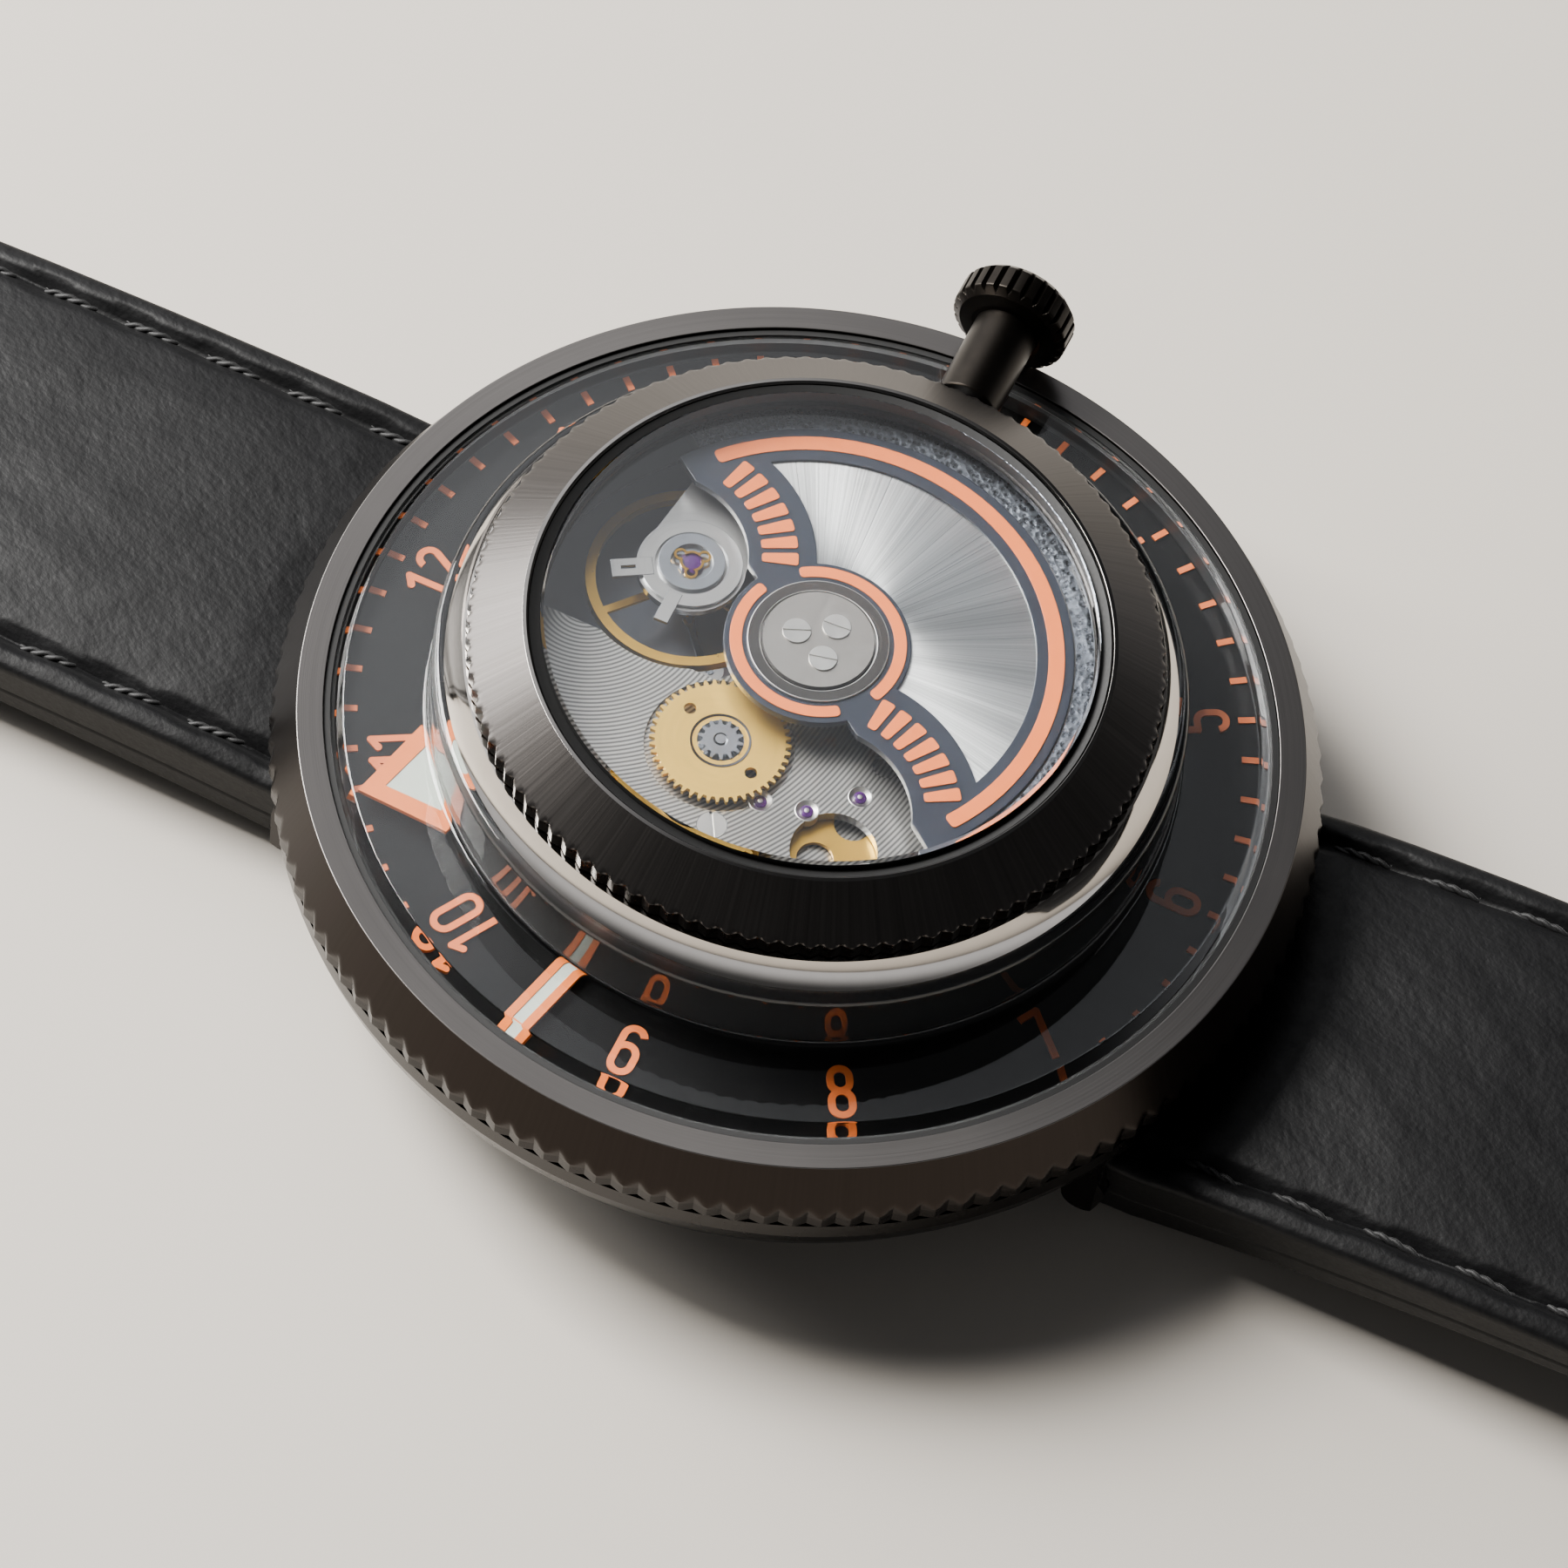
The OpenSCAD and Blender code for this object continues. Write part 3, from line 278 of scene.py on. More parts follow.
STEEL = "#bcbec1"
M = {
    "ring": Shade("satin_ring", "#6a6765", 0.3, 1.0)
    .turned_gleam(0.3).brushed("ring", 0.05, 0.002, 0.06).mat,
    "cone": Shade("brushed_cone", "#2d2825", 0.3, 1.0).brushed("radial", 0.10, 0.0022, 0.06).mat,
    "knurl": Shade("knurl", "#1b1613", 0.28, 1.0).worn(0.08).mat,
    "upper_cone": Shade("radial_brushed_cone", "#4c4947", 0.3, 1.0)
    .brushed("radial", 0.12, 0.005, 0.08, tone=0.3).mat,
    "lip": Shade("polished_lip", "#7b7875", 0.1, 1.0).worn(0.04).mat,
    "case": Shade("coated_case", "#2a2725", 0.26, 1.0).worn(0.08).mat,
    "case_back": Shade("coated_case_back", "#2b2927", 0.32, 1.0).brushed("ring", 0.08, 0.003, 0.08).mat,
    "cup": Shade("polished_cup", "#c3bdb6", 0.06, 1.0).worn(0.03).mat,
    "crown": Shade("coated_crown", "#262320", 0.36, 1.0).worn(0.06, 1600.0, 0.001).mat,
    "rubber": flecked("black_seal", "#050505", 0.6, 0.2, 0.1, 0.003),
    "glass": glass("lower_crystal_glass", "#f7f9fa", 1.49),
    "top_glass": glass("upper_crystal_glass", "#f5f8fb", 1.5),
    "mask": flecked("crystal_mask", "#030303", 0.5, 0.1, 0.2, 0.001),
    "dial": flecked("dial_lacquer", "#020202", 0.34, 0.15, 0.8, 0.0005, Specular_IOR_Level=0.15),
    "print": flecked("orange_print", "#ae4f06", 0.5, 0.06, 0.08, 0.004),
    "pointer": flecked("orange_pointer", "#b45509", 0.45, 0.06, 0.1, 0.004),
    "lume": flecked("pale_lume", "#9aa096", 0.85, 0.07, 0.05, 0.006),
    "enamel": flecked(
        "orange_enamel", "#bc5810", 0.4, 0.05, 0.2, 0.006, Coat_Weight=0.15, Coat_Roughness=0.2),
    "navy": flecked("navy_lacquer", "#060d1a", 0.34, 0.12, 0.1, 0.003, Coat_Weight=0.4, Coat_Roughness=0.1),
    "sunray": sunray("sunray_silver", "#c4c4c1"),
    "weight": hammered("sintered_weight", "#7d8188"),
    "hub": Shade("turned_hub", "#5f5b57", 0.26, 1.0).brushed("ring", 0.1, 0.003, 0.08).mat,
    "cap": Shade("bearing_cap", "#96918b", 0.36, 1.0).worn(0.06, 2500.0, 0.002).mat,
    "screw": Shade("polished_screw", "#d6d2cb", 0.3, 1.0).worn(0.05).mat,
    "steel": Shade("polished_steel", STEEL, 0.22, 1.0).worn(0.06).mat,
    "dark_steel": Shade("casing_ring_steel", "#2b313c", 0.2, 1.0).worn(0.08).mat,
    "stripes": striped("striped_bridge", "#b9b5ae", (-1.5, 9.5), 0.19),
    "stripes_2": striped("striped_barrel_bridge", "#b5b1aa", (6.0, -6.0), 0.19),
    "plate": Shade("grained_plate", "#93959b", 0.42, 1.0).worn(0.06, 1400.0, 0.001).mat,
    "cock": Shade("brushed_cock", "#c2bfba", 0.3, 1.0).brushed("ring", 0.08, 0.002, 0.06, BALANCE).mat,
    "brass": Shade("turned_brass", "#f0c25a", 0.36, 1.0).brushed("ring", 0.2, 0.001, 0.05, WINDER, 0.1).mat,
    "wheel_brass": Shade("wheel_brass", "#e2b04a", 0.3, 1.0).worn(0.08).mat,
    "gold": Shade("gold_spring", "#dca941", 0.15, 1.0).worn(0.05).mat,
    "blue_steel": Shade("spring_alloy", "#56627e", 0.2, 1.0).worn(0.06).mat,
    "ruby": flecked("ruby", "#3c0f4e", 0.06, 0.2, 0.3, 0.001, Transmission_Weight=0.2, IOR=1.76),
    "leather": leather("black_leather", "#060607"),
    "lining": leather("strap_lining", "#070707"),
    "edge": flecked("edge_paint", "#050505", 0.6, 0.2, 0.3, 0.02, Specular_IOR_Level=0.3),
    "thread": flecked("black_thread", "#0a0a0b", 0.6, 0.25, 0.06, 0.01, Sheen_Weight=0.08),
    "buckle": Shade("coated_buckle", "#24211f", 0.24, 1.0).brushed("line", 0.12, 0.002, 0.06).mat,
}

# ---- Mesh tools ----


def evaluated(mesh, add_step):
    """Copy of a mesh with one modifier worked in; add_step(object) adds and sets it."""
    holder = bpy.data.objects.new("holder", mesh)
    bpy.context.scene.collection.objects.link(holder)
    add_step(holder)
    shaped = bpy.data.meshes.new_from_object(holder.evaluated_get(bpy.context.evaluated_depsgraph_get()))
    bpy.data.objects.remove(holder)
    return shaped


def weighted(holder):
    """Makes flat faces keep their own direction right up to the small bevels round them."""
    step = holder.modifiers.new("weights", "WEIGHTED_NORMAL")
    step.keep_sharp = True
    step.weight = 100


def finish_piece(name, mesh, body, slot, materials, replaces=(), sharp=35):
    """Puts a mesh made in millimetres into the scene as a piece that rides on a body."""
    for key in materials:
        mesh.materials.append(M[key])
    mesh.shade_smooth()
    mesh.set_sharp_from_angle(angle=math.radians(sharp))
    mesh = evaluated(mesh, weighted)
    mesh.transform(Matrix.Scale(MM, 4))
    piece = bpy.data.objects.new(name, mesh)
    bpy.context.scene.collection.objects.link(piece)
    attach(piece, body)
    if replaces:
        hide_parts(*replaces)
    return piece


def from_parts(name, vertices, faces, picks=None):
    mesh = bpy.data.meshes.new(name)
    mesh.from_pydata([tuple(v) for v in vertices], [], faces)
    if picks:
        mesh.polygons.foreach_set("material_index", picks)
    tidy = bmesh.new()
    tidy.from_mesh(mesh)
    bmesh.ops.remove_doubles(tidy, verts=tidy.verts, dist=1e-5)
    bmesh.ops.recalc_face_normals(tidy, faces=tidy.faces)
    tidy.to_mesh(mesh)
    tidy.free()
    return mesh


def rounded(points, radius, steps=4):
    """Closed outline with each corner turned into an arc; radius is one number or one for each corner."""
    out = []
    n = len(points)
    for i, p in enumerate(points):
        p = Vector(p)
        r = radius[i] if isinstance(radius, (list, tuple)) else radius
        back = Vector(points[i - 1]) - p
        on = Vector(points[(i + 1) % n]) - p
        turn = back.angle(on) / 2
        cut = min(r / math.tan(turn), back.length * 0.45, on.length * 0.45) if r else 0
        if cut < 1e-4:
            out.append(p)
            continue
        a, b = p + back.normalized() * cut, p + on.normalized() * cut
        for k in range(steps + 1):
            t = k / steps
            out.append(a * (1 - t) ** 2 + p * (2 * t * (1 - t)) + b * t * t)
    return out


def turned(profile, steps, reach=None, pick=None):
    """Solid turned round Z from a closed outline of (radius, height).

    reach(angle, height) limits the radius, and pick(radius, height, way) chooses a side's material.
    """
    rows = len(profile)
    vertices, faces, picks = [], [], []
    for i in range(steps):
        angle = TAU * i / steps
        for r, z in profile:
            if reach:
                r = min(r, reach(angle, z))
            vertices.append((r * math.cos(angle), r * math.sin(angle), z))
    for i in range(steps):
        here, there = i * rows, (i + 1) % steps * rows
        for k in range(rows):
            n = (k + 1) % rows
            if profile[k][0] < 1e-6 and profile[n][0] < 1e-6:
                continue
            faces.append((here + k, there + k, there + n, here + n))
            if pick:
                middle = (Vector(profile[k]) + Vector(profile[n])) / 2
                picks.append(pick(middle.x, middle.y, Vector(profile[n]) - Vector(profile[k])))
    return vertices, faces, picks


def subdivided(profile, longest):
    """Outline whose long sides are cut into stretches."""
    out = []
    for i, p in enumerate(profile):
        p, q = Vector(p), Vector(profile[(i + 1) % len(profile)])
        parts = max(1, math.ceil((q - p).length / longest))
        out += [p.lerp(q, k / parts) for k in range(parts)]
    return out


def flutes(teeth, outer, depth, width, power):
    """Radius that flutes leave at an angle: each groove takes up a share, width, of its pitch."""

    def reach(angle, _z):
        across = abs((angle * teeth / TAU) % 1.0 - 0.5) / (width / 2)
        return outer - depth * max(0.0, 1.0 - across) ** power

    return reach


def top_faces(face):
    """0 for a level upper face, 1 for all others."""
    return 0 if face.normal.z > 0.99 else 1


def within(axis, radius):
    """1 for a face that lies wholly within radius of an upright axis, 0 for all others."""
    return lambda face: int(max(math.hypot(v.co.x - axis.x, v.co.y - axis.y) for v in face.verts) < radius)


def sunk(top):
    """1 for a level upper face that lies below the height top, 0 for all others."""
    return lambda face: int(face.normal.z > 0.9 and face.calc_center_median().z < top - 0.01)


def eased(node, width, body, slot, materials, pick=None):
    """A CAD node's own shape with its edges broken by a small bevel; pick(face) chooses a material."""
    mesh = NODES[node].data.copy()
    mesh.materials.clear()
    shape = bmesh.new()
    shape.from_mesh(mesh)
    shape.transform(Matrix.Scale(1 / MM, 4))
    bmesh.ops.remove_doubles(shape, verts=shape.verts, dist=1e-3)
    flat = math.radians(0.6)
    bmesh.ops.dissolve_limit(shape, angle_limit=flat, verts=shape.verts, edges=shape.edges)
    edges = [e for e in shape.edges if len(e.link_faces) == 2 and e.calc_face_angle(0) > math.radians(30)]
    bmesh.ops.bevel(
        shape, geom=edges, offset=width, segments=2, profile=0.6, affect="EDGES", clamp_overlap=True)
    bmesh.ops.remove_doubles(shape, verts=shape.verts, dist=1e-4)
    if pick:
        for face in shape.faces:
            face.material_index = pick(face)
    fresh = bpy.data.meshes.new(node + "_eased")
    shape.to_mesh(fresh)
    shape.free()
    bpy.data.meshes.remove(mesh)
    return finish_piece(node + "_finished", fresh, body, slot, materials, [node], 30)


def tube(path, radius, sides=8):
    """Closed round tube along a list of points, as vertices and faces."""
    vertices, faces = [], []
    count = len(path)
    for i, p in enumerate(path):
        along = (path[min(i + 1, count - 1)] - path[max(i - 1, 0)]).normalized()
        across = along.cross(Vector((0, 0, 1)))
        across = across.normalized() if across.length > 1e-6 else Vector((1, 0, 0))
        up = across.cross(along)
        size = radius(i / (count - 1)) if callable(radius) else radius
        for k in range(sides):
            a = TAU * k / sides
            vertices.append(p + (across * math.cos(a) + up * math.sin(a)) * size)
    for i in range(count - 1):
        for k in range(sides):
            n = (k + 1) % sides
            faces.append((i * sides + k, i * sides + n, (i + 1) * sides + n, (i + 1) * sides + k))
    faces.append(tuple(range(sides - 1, -1, -1)))
    faces.append(tuple((count - 1) * sides + k for k in range(sides)))
    return vertices, faces


def joined(parts):
    """Several (vertices, faces) as one."""
    vertices, faces = [], []
    for some, rings in parts:
        start = len(vertices)
        vertices += some
        faces += [tuple(start + i for i in ring) for ring in rings]
    return vertices, faces


def cut_away(mesh, cutters):
    """Mesh less the cutters' solids."""
    tool = bpy.data.objects.new("cut_tool", cutters)
    bpy.context.scene.collection.objects.link(tool)

    def cut(holder):
        step = holder.modifiers.new("cut", "BOOLEAN")
        step.operation = "DIFFERENCE"
        step.solver = "EXACT"
        step.object = tool

    shaped = evaluated(mesh, cut)
    bpy.data.objects.remove(tool)
    return shaped


# ---- Case ----


def lower_bezel():
    rim, top = high("lower_bezel").x, high("lower_bezel").z
    foot = low("lower_bezel").z
    inner, ring_edge, skirt = 19.9, 21.0, 20.35
    shelf = 9.7
    teeth = 120
    outline = rounded(
        [(inner, top), (ring_edge, top), (rim, foot + 0.7), (rim, foot), (skirt, foot), (skirt, shelf),
         (inner, shelf)],
        [0.04, 0.05, 0.06, 0.08, 0, 0, 0])
    outline = subdivided(outline, 0.16)
    reach = flutes(teeth, rim, depth=0.21, width=0.96, power=1.0)

    def pick(r, z, way):
        if z > top - 0.07:
            return 0
        return 2 if z < foot + 0.6 else 1

    made = turned(outline, teeth * 10, reach, pick)
    mesh = from_parts("lower_bezel_shell", *made)
    finish_piece(
        "lower_bezel_shell", mesh, "case", "grey_coated_steel", ["ring", "cone", "knurl"],
        ["lower_bezel"], 24)


def upper_bezel():
    rim, top = high("upper_bezel").x, high("upper_bezel").z
    foot = low("upper_bezel").z
    window, crest, brim = 11.86, 11.94, 12.1
    skirt, ledge = 13.27, 11.2
    seat, ledge_top = 16.32, 16.6
    teeth = 108
    outline = rounded(
        [(window, top - 0.1), (crest, top), (brim, top - 0.02), (rim, foot + 0.78), (rim, foot + 0.1),
         (rim - 0.2, foot), (skirt, foot), (skirt - 0.07, seat), (ledge, seat), (ledge, ledge_top),
         (window, ledge_top)],
        [0.02, 0.03, 0.03, 0.05, 0.05, 0.03, 0, 0, 0, 0, 0])
    outline = subdivided(outline, 0.16)
    reach = flutes(teeth, rim, depth=0.18, width=0.96, power=1.0)

    def pick(r, z, way):
        if r < brim + 0.01 and z > top - 0.3:
            return 1
        return 2 if z < foot + 0.68 and r > skirt + 0.23 else 0

    made = turned(outline, teeth * 10, reach, pick)
    mesh = from_parts("upper_bezel_shell", *made)
    finish_piece(
        "upper_bezel_shell", mesh, "case", "grey_coated_steel", ["upper_cone", "lip", "knurl"],
        ["upper_bezel"], 24)


STEM_HOLE = 0.87


def bore(radius, x_from, x_to):
    """Round hole along the crown's axis."""
    ends = [Vector((x_from, 0, CROWN_Z)), Vector((x_to, 0, CROWN_Z))]
    return from_parts("bore", *tube(ends, radius, 48))


def movement_cup():
    """Dark cup round the movement, with a polished, hollowed collar that flares out below the bezel."""
    foot, top = low("movement_cup").z, high("movement_cup").z
    outer = high("movement_cup").x
    wall, inside, mouth, post_hole = 14.1, 13.6, 13.25, 0.95
    lip, lip_under, lip_root, ledge = 14.38, 14.62, 14.7, 15.0
    floor_thick = 0.25
    rise = [k / 14 for k in range(15)]
    collar = [(outer - 0.7 * (1.3 * t - 0.3 * t * t), lip + 0.04 + 1.14 * t) for t in rise]
    outline = [(post_hole, foot), (wall, foot), (wall, lip_under), (lip_root, lip_under), (lip_root, lip)]
    outline += [(outer - 0.03, lip)] + collar
    outline += [(wall, top), (mouth, top), (mouth, ledge), (inside, ledge), (inside, foot + floor_thick)]
    outline += [(post_hole, foot + floor_thick)]
    made = turned(outline, 360, None, lambda r, z, way: 1 if r > wall + 0.1 else 0)
    mesh = cut_away(from_parts("movement_cup_finished", *made), bore(STEM_HOLE, 13, 15))
    finish_piece(
        "movement_cup_finished", mesh, "case", "black_steel", ["case", "cup"], ["movement_cup"], 30)


def crystals():
    """The lower crystal is a ring with a wall, black inside; the upper one is a low dome, black-rimmed."""
    foot, top = low("ring_crystal").z, high("ring_crystal").z
    outer = high("ring_crystal").x
    inner, wall = 14.17, 15.6
    deck = 11.1
    outline = rounded(
        [(inner, foot), (outer, foot), (outer, foot + 0.3), (outer - 0.5, deck - 0.2), (wall, deck),
         (wall, top), (inner, top)],
        [0.03, 0.04, 0.06, 0.15, 0.32, 0.45, 0.06], 8)
    made = turned(outline, 360, None, lambda r, z, way: 1 if r < inner + 0.03 else 0)
    mesh = cut_away(from_parts("ring_crystal_glass", *made), bore(STEM_HOLE, 13, 17))
    finish_piece("ring_crystal_glass", mesh, "case", "crystal", ["glass", "mask"], ["ring_crystal"], 40)

    radius = high("upper_crystal").x
    under, peak = low("upper_crystal").z, high("upper_crystal").z
    edge = peak - 0.4
    dome = [(radius * t, peak - 0.28 * t * t) for t in [k / 20 for k in range(21)]]
    dome[-1] = (radius - 0.12, peak - 0.275)
    outline = [(0.0, under)] + [(radius * k / 10, under) for k in range(1, 10)]
    outline += [(radius - 0.08, under), (radius, under + 0.08), (radius, edge)] + dome[::-1]
    made = turned(outline, 256, None, lambda r, z, way: 1 if r > radius - 0.02 else 0)
    mesh = from_parts("upper_crystal_glass", *made)
    finish_piece(
        "upper_crystal_glass", mesh, "case", "crystal", ["top_glass", "mask"], ["upper_crystal"], 40)


def crown():
    """Grooved cap on a plain sleeve, turned about the winding stem."""
    tip = high("crown").x
    foot = low("crown").x
    radius = high("crown").z - CROWN_Z
    girth, bore_r, stem_r = 1.4, 0.83, 0.42
    back = 20.1
    teeth = 26
    sleeve = rounded(
        [(stem_r, foot + 3.8), (bore_r, foot + 3.6), (bore_r, foot), (girth, foot), (girth, back + 0.3),
         (stem_r, back + 0.3)],
        [0, 0, 0.03, 0.08, 0, 0])
    cap = rounded(
        [(0.0, back), (1.6, back), (radius - 0.4, back + 0.1), (radius, back + 0.35), (radius, tip - 0.5),
         (radius - 0.3, tip - 0.16), (1.8, tip - 0.06), (0.0, tip)],
        [0, 0.1, 0.12, 0.14, 0.12, 0.15, 0.5, 0])
    cap = subdivided(cap, 0.12)
    reach = flutes(teeth, radius, depth=0.26, width=0.42, power=0.6)
    parts = [turned(sleeve, 96)[:2], turned(cap, teeth * 36, reach)[:2]]
    mesh = from_parts("crown_finished", *joined(parts))
    mesh.transform(Matrix.Translation((0, 0, CROWN_Z)) @ Matrix.Rotation(TAU / 4, 4, "Y"))
    finish_piece("crown_finished", mesh, "crown", "black_steel", ["crown"], ["crown"], 32)


# ---- Strap ----

BROAD, NARROW = 10.0, 9.0
TAPER_Y, FLAT_Y = 44.0, 58.0
LAY = 1.0
END_R = 2.05
BAR_HOLE, PIN_HOLE = 0.84, 0.66
STITCH = 4.0
GROOVE = 0.36


class Half:
    """One half of the strap, drawn along +Y; way is -1 for the half that lies towards 6 o'clock."""

    def __init__(self, way, end, under, span, thick, tip_from):
        self.way = way
        self.end = end
        self.under = under
        self.span = span
        self.thick = thick
        self.tip_from = tip_from
        self.margin = 1.5

    def half_width(self, y):
        if y <= self.tip_from:
            return fade(BROAD, NARROW, (y - TAPER_Y) / (FLAT_Y - TAPER_Y))
        t = min(1.0, (y - self.tip_from) / (self.end - self.tip_from))
        return NARROW * max(0.0, 1 - t**2.3) ** 0.62

    def level(self, y):
        """Underside's height and the thickness at y."""
        if y <= BAR.y:
            half = math.sqrt(max(0.0, END_R**2 - (BAR.y - y) ** 2))
            return BAR.z - half, 2 * half
        if self.way > 0 and y > BUCKLE.y - 3:
            return self.wrap(y)
        lo, hi = 0.0, 1.0
        for _ in range(30):
            t = (lo + hi) / 2
            lo, hi = (t, hi) if self.span(t) < y else (lo, t)
        if y < self.span(0):
            t = (y - BAR.y) / (self.span(0) - BAR.y)
            start = self.under(0)
            foot = (BAR.z - END_R) * (1 - t) + start * t
            return foot, 2 * END_R * (1 - t) + self.thick(self.span(0)) * t
        return self.under(lo), self.thick(y)

    def wrap(self, y):
        """The end turned back round the buckle's pin."""
        girth = 1.5
        half = math.sqrt(max(0.0, girth**2 - max(0.0, y - BUCKLE.y) ** 2))
        t = fade(0, 1, (y - BUCKLE.y + 3) / 3)
        t = t * t * (3 - 2 * t)
        foot, thick = self.under(1), self.thick(y)
        return foot * (1 - t) + (BUCKLE.z - half) * t, thick * (1 - t) + 2 * half * t


def bezier(t, p):
    s = 1 - t
    return s**3 * p[0] + 3 * t * s * s * p[1] + 3 * t * t * s * p[2] + t**3 * p[3]


def fade(a, b, t):
    return a + (b - a) * min(1.0, max(0.0, t))


HALF_12 = Half(
    1, BUCKLE.y + 1.5,
    lambda t: bezier(t, [0.95, 1.9, 1.6, LAY]), lambda t: bezier(t, [20.4, 34, 46, FLAT_Y]),
    lambda y: fade(4.0, 2.4, (y - 24) / (FLAT_Y - 26)), 1e3)
REACH_6 = -low("strap_6").y
HALF_6 = Half(
    -1, REACH_6,
    lambda t: bezier(t, [0.95, 7.2, 4.2, 0.02]), lambda t: bezier(t, [20.4, 48, 92, REACH_6]),
    lambda y: fade(4.0, 2.2, (y - 22) / 26), REACH_6 - 14)


def groove_at(half, y):
    """Distance of the stitched groove from the strap's middle."""
    return half.half_width(y) - half.margin


def top_height(half, x, y, thick):
    """Height of the upper leather above the underside: padded middle, sewn groove, rounded margin."""
    w = half.half_width(y)
    line = groove_at(half, y)
    if line < 2.0:
        return thick * 0.86
    swell = fade(0.62, 0.22, (y - 24) / 40) * 0.72
    beat = 0.5 + 0.5 * math.cos(TAU * y / STITCH)
    lip = thick - swell
    a = abs(x)
    if a <= line:
        share = a / line
        body = lip + swell * (1 - share**3.2)
    else:
        out = (a - line) / (w - line)
        body = lip + 0.1 * math.sin(math.pi * min(1.0, out)) - 0.22 * out**3
    dip = math.exp(-(((a - line) / (0.3 + 0.1 * beat)) ** 2))
    body -= GROOVE * (0.75 + 0.35 * beat) * dip
    rise = noise.noise(Vector((x * 0.33, y * 0.16 * half.way, 3.1))) * 0.08
    rise += noise.noise(Vector((x * 0.9 + y * 0.5, y * 0.45, 7.7))) * 0.03
    return body + rise * (1 if a < line else 0.3) * min(1.0, max(0.0, (w - a) * 2))


def strap_rows(half):
    """The y of each cross-section: close together round both rounded ends."""
    rows = [BAR.y - END_R * math.cos(TAU / 4 * k / 8) for k in range(9)]
    start = BAR.y + 0.35
    last = half.end - (1.5 if half.way > 0 else 3)
    count = int((last - start) / 0.33)
    rows += [start + (last - start) * k / count for k in range(count)]
    reach = half.end - last
    rows += [last + reach * math.sin(TAU / 4 * k / 10) for k in range(11)]
    return rows


def strap_body(half):
    """Lofted leather: upper, rounded shoulders, painted edge and lining, as one closed skin."""
    across = [-1 + 2 * k / 84 for k in range(85)]
    vertices, faces, picks = [], [], []
    rows = strap_rows(half)
    for y in rows:
        foot, thick = half.level(y)
        w = max(half.half_width(y), 0.02)
        edge = min(0.45, thick * 0.2, w * 0.5)
        plain = y <= BAR.y or (half.way > 0 and y > BUCKLE.y - 1)
        ring = []
        for s in across:
            x = s * (w - edge)
            tall = thick if plain else max(top_height(half, x, y, thick), thick * 0.3)
            ring.append((x, foot + tall))
        side_top = ring[-1][1]
        tall = side_top - foot
        seam = foot + tall * 0.42
        right = [(w - edge * 0.62, side_top - edge * 0.12), (w - edge * 0.3, side_top - edge * 0.3),
                 (w - edge * 0.1, side_top - edge * 0.6), (w, side_top - edge), (w, seam + 0.12),
                 (w - 0.09, seam), (w, seam - 0.12), (w, foot + edge), (w - edge * 0.3, foot + edge * 0.3)]
        ring += right
        ring += [(s * (w - edge), foot) for s in (1, 0.5, 0, -0.5, -1)]
        ring += [(-x, z) for x, z in reversed(right)]
        vertices += [(x, y * half.way, z) for x, z in ring]
    count = len(vertices) // len(rows)
    upper = len(across) + 4
    lining = range(upper + 5, upper + 9)
    for i in range(len(rows) - 1):
        for k in range(count):
            n = (k + 1) % count
            faces.append((i * count + k, i * count + n, (i + 1) * count + n, (i + 1) * count + k))
            picks.append(0 if k < upper - 1 or k >= count - 4 else (2 if k in lining else 1))
    faces.append(tuple(range(count)))
    faces.append(tuple((len(rows) - 1) * count + k for k in range(count)))
    picks += [0, 0]
    return vertices, faces, picks


def block(lo, hi):
    """Box between two corners, as vertices and faces."""
    corners = [(x, y, z) for x in (lo[0], hi[0]) for y in (lo[1], hi[1]) for z in (lo[2], hi[2])]
    faces = [(0, 1, 3, 2), (4, 6, 7, 5), (0, 4, 5, 1), (2, 3, 7, 6), (0, 2, 6, 4), (1, 5, 7, 3)]
    return [Vector(c) for c in corners], faces


def stitches(half, name, body, first, last):
    """Two-ply thread that rises from the groove and dives back, along both margins."""
    parts = []
    count = int((last - first) / STITCH)
    for i in range(count):
        y = first + STITCH * i
        for side in (-1, 1):
            for ply in (0, 0.5):
                path = []
                for k in range(15):
                    t = k / 14
                    along = y + 0.55 + (STITCH - 1.1) * t
                    foot, thick = half.level(along)
                    lean = side * 0.12 * (t - 0.5)
                    x = side * groove_at(half, along) + lean
                    depth = top_height(half, x, along, thick)
                    lift = 0.26 * math.sin(TAU / 2 * t) ** 0.6 - 0.16
                    turn = TAU * (2.2 * t + ply)
                    twist = Vector((math.cos(turn), 0, math.sin(turn))) * 0.085
                    spot = Vector((x, along, foot + depth + lift)) + twist
                    path.append(Vector((spot.x, spot.y * half.way, spot.z)))
                parts.append(tube(path, lambda t: 0.125 * (0.55 + 0.45 * math.sin(TAU / 2 * t) ** 0.4), 7))
    mesh = from_parts(name, *joined(parts))
    return finish_piece(name, mesh, body, "black_leather", ["thread"], sharp=60)


def band(path, closed, y_from, y_to, thick):
    """Leather loop: a round-edged strip that follows a path of (x, z)."""
    section = rounded(
        [(-thick / 2, y_from), (thick / 2, y_from), (thick / 2, y_to), (-thick / 2, y_to)], 0.35, 4)
    vertices, faces = [], []
    count, rows = len(section), len(path)
    for i, p in enumerate(path):
        before = path[i - 1] if closed or i else p
        after = path[(i + 1) % rows] if closed or i < rows - 1 else p
        along = (after - before).normalized()
        out = Vector((along.y, -along.x))
        vertices += [(p.x + out.x * q.x, q.y, p.y + out.y * q.x) for q in section]
    for i in range(rows if closed else rows - 1):
        here, there = i * count, (i + 1) % rows * count
        turns = [(k, (k + 1) % count) for k in range(count)]
        faces += [(here + k, here + n, there + n, there + k) for k, n in turns]
    if not closed:
        faces += [tuple(range(count)), tuple((rows - 1) * count + k for k in range(count))]
    return vertices, faces


